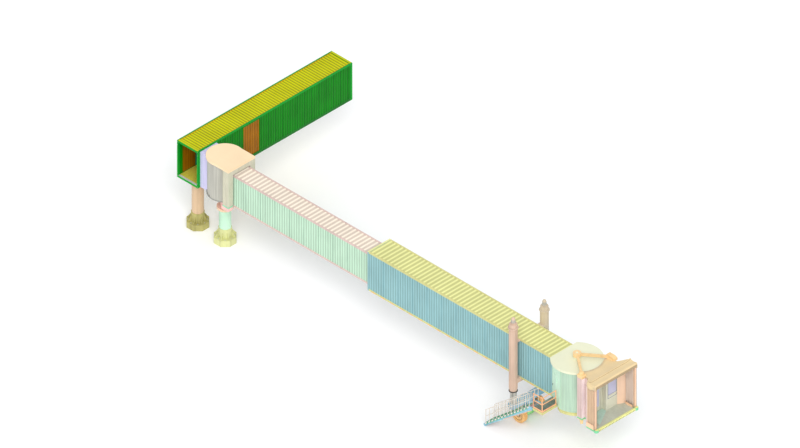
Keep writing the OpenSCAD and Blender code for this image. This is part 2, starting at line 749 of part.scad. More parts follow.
// Two tubes, the saddle under the outer tunnel and the brackets at its edges
module lift_columns() color([0.87, 0.72, 0.64]) {
    bracket_x = [lift_x - 250, lift_x + 250];
    bracket_y1 = lift_y - 60;
    both_sides() {
        translate([lift_x, lift_y, 0]) lift_tube();
        difference() {
            union() {
                block(bracket_x, [b_half, bracket_y1], [b_z0 + 10, b_rail_top]);
                block(bracket_x, [b_half, bracket_y1], [b_roof_z, b_z1 - 10]);
                block(bracket_x, [-eps, bracket_y1], [b_z0 - 250, b_z0]);
            }
            translate([lift_x, lift_y, lift_z0])
                cylinder(h = lift_l, r = lift_d/2 - flute_h - 5, $fn = 48);
        }
    }
}

// Inner legs and the cross beam over the wheels
module lift_legs() color([0.80, 0.78, 0.74]) {
    both_sides() translate([lift_x, lift_y, beam_top - 10])
        cylinder(h = leg_top - beam_top + 10, r = leg_d/2, $fn = 48);
    block([lift_x - 260, lift_x + 260], [-lift_y - leg_d/2 - 40, lift_y + leg_d/2 + 40],
        [beam_top - beam_t, beam_top]);
}

// Steering ring, frame, gearbox and axle stubs
module bogie() color([0.55, 0.75, 0.86]) translate([lift_x, 0, 0]) {
    box_half = wheel_track/2 - wheel_w/2 - 140;
    translate([0, 0, bogie_top - 100]) cylinder(h = 100, r = 380, $fn = 48);
    translate([0, 0, bogie_top - 300]) cylinder(h = 201, r = 260, $fn = 48);
    block([-300, 300], [-box_half, box_half], [wheel_r - 60, bogie_top - 290]);
    rotate([90, 0, 0]) translate([0, wheel_r, -box_half - 40])
        cylinder(h = 2*box_half + 80, r = 280, $fn = 48);
    rotate([90, 0, 0]) translate([0, wheel_r, -wheel_track/2 - 60])
        cylinder(h = wheel_track + 120, r = axle_r, $fn = 32);
}

// One wheel about the origin, tyre and dished rim in one
module wheel() {
    w = wheel_w/2;
    difference() {
        rotate_extrude($fn = 64) polygon([
            [0, -w*0.35], [wheel_r*0.55, -w*0.35], [wheel_r*0.62, -w*0.85], [wheel_r*0.9, -w],
            [wheel_r, -w*0.72], [wheel_r, w*0.72], [wheel_r*0.9, w], [wheel_r*0.62, w*0.85],
            [wheel_r*0.55, w*0.35], [wheel_r*0.3, w*0.35], [wheel_r*0.26, w*0.8], [0, w*0.8]]);
        translate([0, 0, -w]) cylinder(h = w + 60 + seat_gap, r = axle_r + pin_gap, $fn = 32);
    }
}

module wheel_left() color([0.98, 0.78, 0.47])
    translate([lift_x, wheel_track/2, wheel_r]) rotate([-90, 0, 0]) wheel();

module wheel_right() color([0.98, 0.78, 0.47])
    translate([lift_x, -wheel_track/2, wheel_r]) rotate([90, 0, 0]) wheel();

// Part of the drum's plan that lies beyond the tunnel's end
module beyond_tunnel(r, z) {
    intersection() {
        translate([drum_cx, 0, z[0]]) cylinder(h = z[1] - z[0], r = r, $fn = 240);
        block([b_x1, b_x1 + 9000], [-9000, 9000], z);
    }
}

// Ground outside the drum's straight panels, beyond their inner or outer faces
module outside_panels(inner, z) both_sides() {
    p0 = inner ? [b_x1, b_half - tunnel_b_t] : panel_p0;
    p1 = inner ? panel_q1 : panel_p1;
    translate([0, 0, z[0]]) linear_extrude(z[1] - z[0]) polygon([
        [p0[0] - 900, p0[1]], p0, p1, [p1[0], 9000], [p0[0] - 900, 9000]]);
}

// Floor of the drum with its rim and lower bearing
module drum_floor() color([0.90, 0.90, 0.52]) {
    difference() {
        beyond_tunnel(drum_floor_r - 1, [drum_f0, drum_fz]);
        outside_panels(true, [drum_f0 - eps, drum_fz + eps]);
    }
    difference() {
        union() {
            beyond_tunnel(drum_r, [drum_f0, panel_z0]);
            beyond_tunnel(drum_r + 25, [rim_z0, drum_f0 + eps]);
        }
        beyond_tunnel(drum_r - 120, [rim_z0 - eps, drum_f0]);
        outside_panels(false, [rim_z0 - eps, drum_fz]);
    }
    difference() {
        translate([drum_cx, 0, rim_z0 + seat_gap])
            cylinder(h = drum_f0 - rim_z0, r = bearing_r, $fn = 48);
        translate([drum_cx, 0, rim_z0 - eps])
            cylinder(h = 121, r = pivot_r + pivot_gap, $fn = 32);
    }
}

module drum_roof() color([0.92, 0.91, 0.80]) {
    hub_z0 = arm_z - 60 - seat_gap;
    beyond_tunnel(drum_roof_r, [drum_roof_z, drum_top]);
    translate([drum_cx, 0, drum_top - eps])
        cylinder(h = hub_z0 - drum_top + eps, r = hub_r - 20, $fn = 48);
    translate([drum_cx, 0, drum_top - eps])
        cylinder(h = arm_z + arm_t + 60 - drum_top, r = pivot_r, $fn = 32);
}

// Straight panel of the drum on the +Y side, in plan
module panel_plan() polygon([panel_p0, panel_p1, panel_q1, [b_x1, b_half - tunnel_b_t]]);

module drum_panels() color([0.76, 0.92, 0.80]) {
    translate([0, 0, panel_z0]) linear_extrude(drum_roof_z - panel_z0) panel_plan();
    mirror([0, 1, 0]) difference() {
        translate([0, 0, panel_z0]) linear_extrude(drum_roof_z - panel_z0) panel_plan();
        translate([panel_p0[0], panel_p0[1], 0]) rotate(panel_dir)
            block([sdoor_s0, sdoor_s1], [-400, 200], [drum_fz, drum_fz + sdoor_h]);
    }
    mirror([0, 1, 0]) translate([panel_p0[0], panel_p0[1], 0]) rotate(panel_dir)
        translate([sdoor_s1, 0, 0]) frame_knuckles([drum_fz + 300, drum_fz + sdoor_h - 400]);
}

module drum_slats() color([0.62, 0.85, 0.68]) translate([drum_cx, 0, 0]) both_sides()
    slats(drum_r, drum_t, drum_a0, panel_a - 0.02, [drum_f0 + 60, drum_roof_z]);

// Door leaf in the right panel, hinged on its cab side
module service_door() color([0.70, 0.88, 0.76]) mirror([0, 1, 0])
    translate([panel_p0[0], panel_p0[1], 0]) rotate(panel_dir) {
        block([sdoor_s0 + leaf_gap, sdoor_s1 - leaf_gap], [-leaf_t + 20, 20],
            [drum_fz + leaf_gap, drum_fz + sdoor_h - leaf_gap]);
        translate([sdoor_s1, 0, 0]) leaf_barrels(20, [drum_fz + 300, drum_fz + sdoor_h - 400]);
    }

module landing_deck() color([0.55, 0.56, 0.45]) difference() {
    under = land_z - land_t - 120;
    ear_w = 30;
    union() {
        block([land_x0, land_x1], [-landing_y, 0], [land_z - land_t, land_z]);
        for (x = [land_x0, land_x1 - 60])
            block([x, x + 60], [-landing_y, 0], [under, land_z - land_t + eps]);
        block([land_x0, land_x1], [-landing_y, -landing_y + 60], [under, land_z - land_t + eps]);
        for (y = [stair_y0 + stringer_t + 3, stair_y1 - stringer_t - 3 - ear_w])
            block([stair_px - stair_pin_r, land_x0 + 30], [y, y + ear_w],
                [stair_pz - stair_pin_r, stair_pz + stair_pin_r]);
        for (y = [stair_y0 + 3, stair_y1 - stringer_t - 3 - ear_w])
            translate([stair_px, y, stair_pz]) rotate([-90, 0, 0])
                cylinder(h = stringer_t + ear_w, r = stair_pin_r, $fn = 32);
    }
    mirror([0, 1, 0]) translate([0, 0, under - eps]) linear_extrude(land_z - under + 2*eps) polygon([
        [b_x1 - eps, -eps], panel_p0, panel_p1, [panel_p1[0] + 500, panel_p1[1]],
        [panel_p1[0] + 500, -eps]]);
}

module tube_between(p, q, r) {
    d = q - p;
    l = norm(d);
    translate(p) rotate([0, acos(d[2]/l), atan2(d[1], d[0])]) cylinder(h = l, r = r, $fn = 12);
}

module landing_rails() color([0.98, 0.74, 0.55]) {
    y0 = -landing_y + 30;
    x1 = land_x1 - 30;
    x0 = land_x0 + 30;
    y1 = -b_half - 560;
    for (p = [[x0, y0], [x1, y0], [x1, y1]])
        block([p[0] - 25, p[0] + 25], [p[1] - 25, p[1] + 25], [land_z, land_z + rail_h]);
    for (z = [land_z + rail_h*0.5, land_z + rail_h - 50]) {
        block([x0, x1], [y0 - 20, y0 + 20], [z, z + 50]);
        block([x1 - 20, x1 + 20], [y0, y1], [z, z + 50]);
    }
    block([x0, x1], [y0 - 10, y0 + 10], [land_z, land_z + 120]);
    block([x1 - 10, x1 + 10], [y0, y1], [land_z, land_z + 120]);
}

// Service stair, hung from the landing and rolling on its foot
module stair_stringers() color([0.55, 0.75, 0.80]) {
    foot_x = stair_px - stair_run;
    for (y = [stair_y0, stair_y1 - stringer_t]) translate([0, y + stringer_t, 0]) rotate([90, 0, 0])
        difference() {
            union() {
                linear_extrude(stringer_t) polygon([
                    [stair_px - 20, stair_pz + 40], [stair_px - 20, stair_pz - stringer_h + 40],
                    [foot_x, foot_r + 10], [foot_x - 120, foot_r + 10],
                    [foot_x - 120, stringer_top(foot_x - 120)],
                    [stair_px - 260, stringer_top(stair_px - 260)]]);
                translate([stair_px, stair_pz, 0]) cylinder(h = stringer_t, r = stair_eye_r, $fn = 32);
            }
            translate([stair_px, stair_pz, -eps])
                cylinder(h = stringer_t + 2*eps, r = stair_pin_r + pin_gap, $fn = 32);
        }
    translate([foot_x - 60, stair_y0 + stringer_t - eps, foot_r]) rotate([-90, 0, 0])
        cylinder(h = stair_w - 2*stringer_t + 2*eps, r = foot_r, $fn = 32);
}

module stair_treads() color([0.85, 0.72, 0.72])
    for (i = [1:tread_n]) {
        x = stair_px - 120 - (stair_run - 200)*(i - 0.5)/tread_n;
        z = stair_pz + 30 - (stair_rise - 60)*(i - 0.5)/tread_n;
        block([x - 250, x], [stair_y0 + stringer_t, stair_y1 - stringer_t], [z - 40, z]);
    }

module stair_rails() color([0.88, 0.84, 0.78]) {
    n = 12;
    x_a = stair_px - 280;
    x_b = stair_px - stair_run + 60;
    up = rail_h - 150;
    for (y = [stair_y0 + stringer_t/2, stair_y1 - stringer_t/2]) {
        for (i = [0:n]) {
            x = x_a + (x_b - x_a)*i/n;
            translate([0, y + 18, 0]) rotate([90, 0, 0]) linear_extrude(36) polygon([
                [x - 18, stringer_top(x - 18) + touch], [x + 18, stringer_top(x + 18) + touch],
                [x + 18, stringer_top(x + 18) + up], [x - 18, stringer_top(x - 18) + up]]);
        }
        for (z = [up*0.5, up]) tube_between([x_a, y, stringer_top(x_a) + z],
            [x_b, y, stringer_top(x_b) + z], tube_r);
    }
}

// Plan of the ground that the cab keeps clear of, behind its posts and round the drum
module beyond_posts(rear_r) {
    ray = 2*cab_front;
    circle(r = rear_r, $fn = 240);
    for (s = [0, 1]) mirror([0, s, 0])
        polygon([[0, 0], polar(ray, post_a), polar(ray, post_a + 90)]);
}

// The two rear corner posts in plan
module post_plan(margin = 0) {
    for (s = [0, 1]) mirror([0, s, 0])
        translate([post_x0 - margin, post_y0 - margin])
            square([cab_post_l + 2*margin, cab_post_w + 2*margin]);
}

module cab_floor() color([0.66, 0.66, 0.56]) translate([drum_cx, 0, cab_z0])
    linear_extrude(drum_fz - cab_z0) difference() {
        polygon(concat([[0, 0]], half_plan,
            [for (i = [len(half_plan) - 1:-1:0]) [half_plan[i][0], -half_plan[i][1]]]));
        circle(r = cab_curtain_in, $fn = 240);
    }

// Upper and lower arms that carry the cab on the drum's centre line
module cab_arms() color([0.93, 0.78, 0.52]) translate([drum_cx, 0, 0]) {
    arm_l = sqrt(post_x*post_x + post_y*post_y);
    lower_w = 180;
    lower_t = 150;
    knob_r = 170;
    cap_t = 40;
    difference() {
        union() {
            translate([0, 0, arm_z - 60]) cylinder(h = arm_t + 120, r = hub_r, $fn = 48);
            for (s = [-1, 1]) rotate(s*post_a)
                block([0, arm_l], [-arm_t/2, arm_t/2], [arm_z, arm_z + arm_t]);
            translate([0, 0, arm_z - eps]) linear_extrude(cap_t) post_plan();
            for (s = [-1, 1]) translate([post_x, s*post_y, arm_z - eps])
                cylinder(h = arm_t + 20, r = knob_r, $fn = 48);
        }
        translate([0, 0, arm_z - 61]) cylinder(h = arm_t + 180, r = pivot_r + pivot_gap, $fn = 32);
    }
    translate([0, 0, rim_z0 - lower_t - 10]) cylinder(h = lower_t + 10, r = bearing_r, $fn = 48);
    translate([0, 0, rim_z0 - eps]) cylinder(h = 100, r = pivot_r, $fn = 32);
    for (s = [-1, 1]) rotate(s*post_a) {
        block([0, arm_l], [-lower_w/2, lower_w/2], [rim_z0 - lower_t - 10, rim_z0 - 10]);
        block([arm_l - 200, arm_l + 100], [-lower_w/2, lower_w/2], [rim_z0 - lower_t - 10, cab_z0 - cap_t]);
    }
    translate([0, 0, cab_z0 - cap_t - eps]) linear_extrude(cap_t + eps) post_plan();
}

// Rear corner posts, wings to the curtains and the side walls to the canopy
module cab_walls() color([0.93, 0.82, 0.82]) translate([drum_cx, 0, 0]) {
    wing_in = cab_curtain_out - 15;
    wing_out = post_x0/cos(post_a) + 40;
    wall_z = canopy_z0 - drum_fz;
    y1 = bellows_y - 20;
    y0 = y1 - cab_wall_t;
    translate([0, 0, drum_fz]) linear_extrude(arm_z - eps - drum_fz) post_plan();
    both_sides() {
        rotate(post_a) block([wing_in, wing_out], [-cab_wall_t/2, cab_wall_t/2],
            [drum_fz, drum_roof_z - 20]);
        translate([0, 0, drum_fz]) linear_extrude(wall_z) polygon([
            [post_x1 - eps, side_y], [post_x1 - eps, side_out], [booth_x, side_out],
            [bellows_x0 - 60, y1], [bellows_x0, y1], [bellows_x0, y0], [bellows_x0 - 40, y0],
            [booth_x + bulk_t, side_y]]);
    }
}

module cab_curtains() color([0.62, 0.85, 0.68]) translate([drum_cx, 0, 0]) both_sides()
    slats(cab_curtain_out, drum_t, cab_curtain_a0, cab_curtain_a1, [drum_fz, drum_roof_z - 20]);

// Rear wall of the cab: the doorway, and a booth front with a window further forward
module cab_bulkhead() color([0.84, 0.82, 0.72]) translate([drum_cx, 0, 0]) {
    half = side_y - touch;
    wall_z = [drum_fz, canopy_z0];
    difference() {
        union() {
            block([bulk_x, bulk_x + bulk_t], [-half, booth_y + bulk_t], wall_z);
            block([bulk_x, booth_x + bulk_t], [booth_y, booth_y + bulk_t], wall_z);
            block([booth_x, booth_x + bulk_t], [booth_y, half], wall_z);
        }
        block([bulk_x - eps, bulk_x + bulk_t + eps], [door_y0, door_y1], [drum_fz - eps, drum_fz + door_h]);
        block([booth_x - eps, booth_x + bulk_t + eps], [window_y0, window_y1], [window_z0, window_z1]);
    }
    translate([bulk_x + bulk_t, door_y0, 0]) rotate(-90) frame_knuckles(cab_hinges);
}

module cab_glass() color([0.78, 0.76, 0.90, 0.6]) translate([drum_cx, 0, 0])
    block([booth_x + 25, booth_x + 35], [window_y0, window_y1], [window_z0, window_z1]);

// Glazed door leaf between the drum and the cab
module cab_door() color([0.84, 0.82, 0.72]) translate([drum_cx, 0, 0]) {
    leaf_in = 8;
    pane_t = 8;
    stile = 110;
    pane_x0 = bulk_x + leaf_in + (leaf_t - pane_t)/2;
    pane_y = [door_y0 + leaf_gap + stile, door_y1 - leaf_gap - stile];
    pane_z = [drum_fz + leaf_gap + 300, drum_fz + door_h - leaf_gap - 120];
    difference() {
        block([bulk_x + leaf_in, bulk_x + leaf_in + leaf_t], [door_y0 + leaf_gap, door_y1 - leaf_gap],
            [drum_fz + leaf_gap, drum_fz + door_h - leaf_gap]);
        block([bulk_x, pane_x0], pane_y, pane_z);
        block([pane_x0 + pane_t, bulk_x + bulk_t + leaf_t], pane_y, pane_z);
    }
    translate([bulk_x + bulk_t, door_y0, 0]) rotate(-90)
        leaf_barrels(leaf_in + leaf_t - bulk_t, cab_hinges);
}

// Curved roof sheet of the canopy with two ridges, seen from the side as x and height
module canopy_top() color([0.95, 0.84, 0.63]) translate([drum_cx, 0, 0]) intersection() {
    front = bellows_x1 + 50;
    lip_z = canopy_z1 - 260;
    translate([0, bellows_y, 0]) rotate([90, 0, 0]) linear_extrude(2*bellows_y) polygon([
        [drum_r/2, canopy_z0], [bellows_x0, canopy_z0], [bellows_x1, lip_z], [front, lip_z],
        [front, canopy_z1 - 60], [front - 110, canopy_z1], [front - 250, canopy_z1 - 60],
        [front - 470, canopy_z1 - 100], [front - 570, canopy_z1 - 40],
        [front - 690, canopy_z1 - 120], [post_x0, canopy_z0 + 120], [drum_r/2, canopy_z0 + 90]]);
    translate([0, 0, canopy_z0 - eps]) linear_extrude(cab_h) difference() {
        polygon([[post_x0/2, 0], [post_x0, post_y1], [post_x1, post_y1], [bellows_x0, bellows_y],
            [front, bellows_y], [front, -bellows_y], [bellows_x0, -bellows_y], [post_x1, -post_y1],
            [post_x0, -post_y1]]);
        beyond_posts(roof_clear_r);
        post_plan(20);
    }
}

// Pleated sides of the canopy
module canopy_sides() color([0.92, 0.74, 0.58]) translate([drum_cx, 0, 0]) both_sides() {
    n = 5;
    p = (bellows_x1 - bellows_x0)/n;
    y1 = bellows_y;
    y0 = bellows_y - bellows_t;
    translate([0, 0, drum_fz]) linear_extrude(canopy_z0 - drum_fz) polygon(concat(
        [for (i = [0:n - 1], k = [0, 1]) [bellows_x0 + (i + k/2)*p, k == 0 ? y1 - 60 : y1]],
        [[bellows_x1, y1 - 60], [bellows_x1, y0 + 60]],
        [for (i = [n - 1:-1:0], k = [1, 0])
            [bellows_x0 + (i + k/2)*p, k == 0 ? y0 + 60 : y0]]));
}

// Front sill with its bumper and corner pads
module cab_bumper() color([0.92, 0.92, 0.54]) translate([drum_cx, 0, 0]) difference() {
    union() {
        block([bellows_x1, cab_front + 60], [-cab_half + pad_r, cab_half - pad_r],
            [cab_z0, drum_fz + 60]);
        for (s = [-1, 1]) translate([bellows_x1 + 20, s*(cab_half - pad_r), cab_z0])
            cylinder(h = drum_fz + 60 - cab_z0, r = pad_r, $fn = 32);
    }
    block([0, bellows_x1], [-cab_half, cab_half], [cab_z0 - eps, drum_fz + 60 + eps]);
}

pedestal_base();
pedestal_column();
walkway_floor();
walkway_beams();
walkway_left_wall();
walkway_right_wall();
walkway_infills();
walkway_roof();
walkway_roof_rails();
walkway_frames();
vestibule();
rotunda_base();
rotunda_column();
fixed_curtains();
rotunda_yoke();
rotunda_floor();
rotunda_roof();
rotunda_shell();
moving_curtains();
tunnel_a_floor();
tunnel_a_left_wall();
tunnel_a_right_wall();
tunnel_a_roof();
tunnel_a_rails();
tunnel_b_floor();
tunnel_b_left_wall();
tunnel_b_right_wall();
tunnel_b_roof();
tunnel_b_rails();
tunnel_b_portal();
lift_columns();
lift_legs();
bogie();
wheel_left();
wheel_right();
drum_floor();
drum_roof();
drum_panels();
drum_slats();
service_door();
landing_deck();
landing_rails();
stair_stringers();
stair_treads();
stair_rails();
cab_floor();
cab_arms();
cab_walls();
cab_bulkhead();
cab_glass();
cab_door();
cab_curtains();
canopy_top();
canopy_sides();
cab_bumper();
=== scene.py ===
import math

import bpy
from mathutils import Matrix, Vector


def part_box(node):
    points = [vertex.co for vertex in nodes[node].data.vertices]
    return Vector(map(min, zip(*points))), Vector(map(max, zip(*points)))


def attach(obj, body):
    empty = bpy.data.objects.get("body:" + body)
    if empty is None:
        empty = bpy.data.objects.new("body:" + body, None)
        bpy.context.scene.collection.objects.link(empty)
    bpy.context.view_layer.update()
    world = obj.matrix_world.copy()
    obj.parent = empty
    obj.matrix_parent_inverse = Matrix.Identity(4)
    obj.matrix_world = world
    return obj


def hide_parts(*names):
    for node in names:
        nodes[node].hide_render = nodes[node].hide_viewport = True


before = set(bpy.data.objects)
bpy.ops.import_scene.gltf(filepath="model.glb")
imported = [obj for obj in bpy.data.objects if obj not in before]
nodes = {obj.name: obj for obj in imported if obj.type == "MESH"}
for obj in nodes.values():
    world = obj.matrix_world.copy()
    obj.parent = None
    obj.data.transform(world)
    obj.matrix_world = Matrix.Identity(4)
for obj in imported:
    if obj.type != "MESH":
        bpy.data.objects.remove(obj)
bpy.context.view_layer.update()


# Camera, floor and light
# The view is isometric: 45 degrees to the right of the tunnels, 35.26 degrees down, with
# one scale over the whole picture. The floor is plain and pale, and the light is soft.
ISO_TURN = math.radians(45)
ISO_DROP = math.atan(1/math.sqrt(2))
VIEW_WIDTH = 51.6
VIEW_MIDDLE = Vector((7.54, 8.41, 0.87))
VIEW_DISTANCE = 80
toward_camera = Vector((math.cos(ISO_TURN)*math.cos(ISO_DROP),
                        -math.sin(ISO_TURN)*math.cos(ISO_DROP), math.sin(ISO_DROP)))
camera_data = bpy.data.cameras.new("iso_camera")
camera_data.type = "ORTHO"
camera_data.ortho_scale = VIEW_WIDTH
camera_data.clip_end = 4*VIEW_DISTANCE
camera = bpy.data.objects.new("iso_camera", camera_data)
camera.location = VIEW_MIDDLE + VIEW_DISTANCE*toward_camera
camera.rotation_mode = "QUATERNION"
camera.rotation_quaternion = (-toward_camera).to_track_quat("-Z", "Y")
bpy.context.scene.collection.objects.link(camera)
bpy.context.scene.camera = camera
bpy.context.scene.view_settings.view_transform = "Standard"


def blank_material(name):
    material = bpy.data.materials.new(name)
    material.use_nodes = True
    return material


def shader_of(material):
    return material.node_tree.nodes["Principled BSDF"]


def fill(node, inputs):
    """Gives a node its inputs by name or number: sockets are linked, plain values are set."""
    for key, value in inputs.items():
        if isinstance(value, bpy.types.NodeSocket):
            node.id_data.links.new(value, node.inputs[key])
        else:
            node.inputs[key].default_value = value
    return node.outputs


def object_place(tree, output="Object"):
    return tree.nodes.new("ShaderNodeTexCoord").outputs[output]


def object_noise(tree, scale, detail=4.0, stretch=(1, 1, 1)):
    """Noise over the object's own metres, stretched along an axis where stretch is small."""
    mapped = fill(tree.nodes.new("ShaderNodeMapping"), {"Vector": object_place(tree), "Scale": stretch})
    return fill(tree.nodes.new("ShaderNodeTexNoise"),
                {"Vector": mapped["Vector"], "Scale": scale, "Detail": detail})["Fac"]


def ramp(tree, value, low, high, dark, light):
    """Colour that goes from dark to light as value goes from low to high."""
    node = tree.nodes.new("ShaderNodeValToRGB")
    for i, (position, colour) in enumerate([(low, dark), (high, light)]):
        node.color_ramp.elements[i].position = position
        node.color_ramp.elements[i].color = (*colour, 1)
    return fill(node, {"Fac": value})["Color"]


def mix(tree, factor, a, b, blend="MIX"):
    node = tree.nodes.new("ShaderNodeMix")
    node.data_type = "RGBA"
    node.blend_type = blend
    return fill(node, {"Factor": factor, "A": a, "B": b})["Result"]


def clouded(name, layers, inputs):
    """A material whose colour is the product of layers of noise.

    A layer is (scale, detail, low, high, dark, light) and the noise's stretch, if it has one."""
    material = blank_material(name)
    tree = material.node_tree
    colour = None
    for scale, detail, low, high, dark, light, *stretch in layers:
        layer = ramp(tree, object_noise(tree, scale, detail, *stretch), low, high, dark, light)
        colour = mix(tree, 1.0, colour, layer, "MULTIPLY") if colour else layer
    fill(shader_of(material), {"Base Color": colour, **inputs})
    return material


floor_material = clouded(
    "pale_floor", [(0.05, 2, 0.3, 0.7, (0.95, 0.95, 0.95), (0.98, 0.98, 0.98))], {"Roughness": 0.9})
FLOOR_HALF = 400
FLOOR_DROP = 0.004
floor_mesh = bpy.data.meshes.new("floor")
floor_mesh.from_pydata([(x*FLOOR_HALF, y*FLOOR_HALF, -FLOOR_DROP)
                        for x, y in [(-1, -1), (1, -1), (1, 1), (-1, 1)]], [], [(0, 1, 2, 3)])
floor_mesh.materials.append(floor_material)
floor = bpy.data.objects.new("floor", floor_mesh)
bpy.context.scene.collection.objects.link(floor)

SUN_POWER = 1.9
SUN_SPREAD = math.radians(35)
SUN_RAYS = Vector((-0.75, 0.72, -0.90))
SKY_POWER = 0.82
SKY_COLOUR = (0.97, 0.98, 1.0, 1)
sun_data = bpy.data.lights.new("sun", "SUN")
sun_data.energy = SUN_POWER
sun_data.angle = SUN_SPREAD
sun = bpy.data.objects.new("sun", sun_data)
sun.rotation_mode = "QUATERNION"
sun.rotation_quaternion = SUN_RAYS.to_track_quat("-Z", "Y")
bpy.context.scene.collection.objects.link(sun)
world = bpy.data.worlds.new("studio")
world.use_nodes = True
fill(world.node_tree.nodes["Background"], {"Color": SKY_COLOUR, "Strength": SKY_POWER})
bpy.context.scene.world = world


# Footings of the two columns
# Octagonal cast blocks with a steel sleeve and eight gussets, held down by anchor bolts
# whose nuts stand on the block. The walkway's is a darker olive than the rotunda's.
WHITE = (1, 1, 1)
UP = (0, 0, 1)
# The colour of the painted shade in the furrows of ribbed sheets.
FURROW_SHADE = (0.74, 0.74, 0.72)


def shade(colour, k):
    return tuple(min(1.0, c*k) for c in colour)


def tint(material, colour):
    """Multiplies the colour of a material by one more colour of its own tree."""
    made = shader_of(material).inputs["Base Color"].links[0].from_socket
    fill(shader_of(material), {"Base Color": mix(material.node_tree, 1.0, made, colour, "MULTIPLY")})
    return material


def calculate(tree, operation, a, b=0.0):
    node = tree.nodes.new("ShaderNodeMath")
    node.operation = operation
    return fill(node, {0: a, 1: b})["Value"]


def axes(tree, vector):
    """The X, Y and Z of a vector as sockets, by letter or number."""
    return fill(tree.nodes.new("ShaderNodeSeparateXYZ"), {"Vector": vector})


def spread(tree, value, low, high, first=0.0, last=1.0):
    """Number that goes from first to last as value goes from low to high."""
    return fill(tree.nodes.new("ShaderNodeMapRange"), {
        "Value": value, "From Min": low, "From Max": high, "To Min": first, "To Max": last})["Result"]


def bumpy(material, height, strength, distance):
    """Raises the surface by distance, in metres, where height is 1."""
    bump = fill(material.node_tree.nodes.new("ShaderNodeBump"),
                {"Height": height, "Strength": strength, "Distance": distance})
    fill(shader_of(material), {"Normal": bump["Normal"]})


def painted(name, colour, tone=0.10, streak=0.10, roughness=0.42, grain=0.25, groove=None):
    """Painted steel: broad tone, rain streaks, a fine orange-peel bump and painted shade in furrows.

    groove is (axis, start, pitch, half width) of the furrows of a ribbed sheet, in metres."""
    material = clouded(name, [
        (0.7, 5, 0.32, 0.68, shade(colour, 1 - tone), shade(colour, 1 + 0.4*tone)),
        (5.0, 6, 0.34, 0.52, shade(WHITE, 1 - streak), WHITE, (1, 1, 0.07))], {"Specular IOR Level": 0.15})
    tree = material.node_tree
    # Painted shade: the furrows of a ribbed sheet are darkened, as the ribs would shade them.
    if groove:
        axis, start, pitch, half = groove
        place = axes(tree, object_place(tree))[axis]
        for operation, number in [("SUBTRACT", start), ("DIVIDE", pitch), ("ADD", 0.5),
                                  ("FRACT", 0), ("SUBTRACT", 0.5), ("ABSOLUTE", 0)]:
            place = calculate(tree, operation, place, number)
        edge = half/pitch
        tint(material, ramp(tree, place, 0.75*edge, 1.05*edge, FURROW_SHADE, WHITE))
    rough = spread(tree, object_noise(tree, 6.0, 3), 0, 1, roughness - 0.08, roughness + 0.12)
    fill(shader_of(material), {"Roughness": rough})
    bumpy(material, object_noise(tree, 140.0, 2), grain, 0.002)
    return material


def dress(material, *names):
    for name in names:
        nodes[name].data.materials.clear()
        nodes[name].data.materials.append(material)


def middle(node):
    low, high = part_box(node)
    return tuple((a + b)/2 for a, b in zip(low, high))


def round_angles(count, shift=0):
    """Angles of places round a circle, turned on by a share of one step."""
    return [2*math.pi*(i + shift)/count for i in range(count)]


def lathe_mesh(outline, centre, axis, sides=32, closed=False):
    """Revolves (radius, height) points about an axis through centre.

    Its two ends are capped, or the outline is a closed loop."""
    turn = Vector(axis).to_track_quat("Z", "Y")
    verts = [tuple(Vector(centre) + turn @ Vector((r*math.cos(a), r*math.sin(a), h)))
             for a in round_angles(sides) for r, h in outline]
    n = len(outline)
    faces = [(i*n + k, (i + 1) % sides*n + k, (i + 1) % sides*n + (k + 1) % n, i*n + (k + 1) % n)
             for i in range(sides) for k in range(n if closed else n - 1)]
    if not closed:
        faces += [tuple(range(0, sides*n, n))[::-1], tuple(range(n - 1, sides*n, n))]
    return verts, faces


def ring_mesh(outline, centre, axis, sides=48):
    """Revolves a closed loop of (radius, height) points, such as a bead or a band."""
    return lathe_mesh(outline, centre, axis, sides, closed=True)


def join(*parts):
    verts, faces = [], []
    for v, f in parts:
        faces += [tuple(i + len(verts) for i in face) for face in f]
        verts += list(v)
    return verts, faces


def nut(place, axis, size):
    """Washer, hexagon nut and the bolt's end, standing on a face at place."""
    washer = lathe_mesh([(size*1.15, 0), (size*1.15, size*0.2)], place, axis, 12)
    body = lathe_mesh([(size, size*0.2), (size, size*0.85), (size*0.85, size)], place, axis, 6)
    end = lathe_mesh([(size*0.5, size), (size*0.5, size*1.5)], place, axis, 10)
    return join(washer, body, end)


def nut_circle(centre, axis, radius, count, size, shift=0):
    """Nuts round a circle on a face, turned on by a share of one step."""
    first = Vector((1, 0, 0))
    second = Vector(axis).cross(first)
    return [nut(Vector(centre) + radius*(math.cos(a)*first + math.sin(a)*second), axis, size)
            for a in round_angles(count, shift)]


def piece(name, parts, material, body, smooth=None):
    """A piece of the object from (vertices, faces) parts; smooth is the angle kept sharp."""
    mesh = bpy.data.meshes.new(name)
    verts, faces = join(*parts)
    mesh.from_pydata(verts, [], faces)
    mesh.materials.append(material)
    mesh.update()
    if smooth:
        mesh.polygons.foreach_set("use_smooth", [True]*len(mesh.polygons))
        mesh.set_sharp_from_angle(angle=math.radians(smooth))
    made = bpy.data.objects.new(name, mesh)
    bpy.context.scene.collection.objects.link(made)
    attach(made, body)
    return made


def in_steel(name, parts, body, smooth=None):
    piece(name, parts, galvanised, body, smooth)


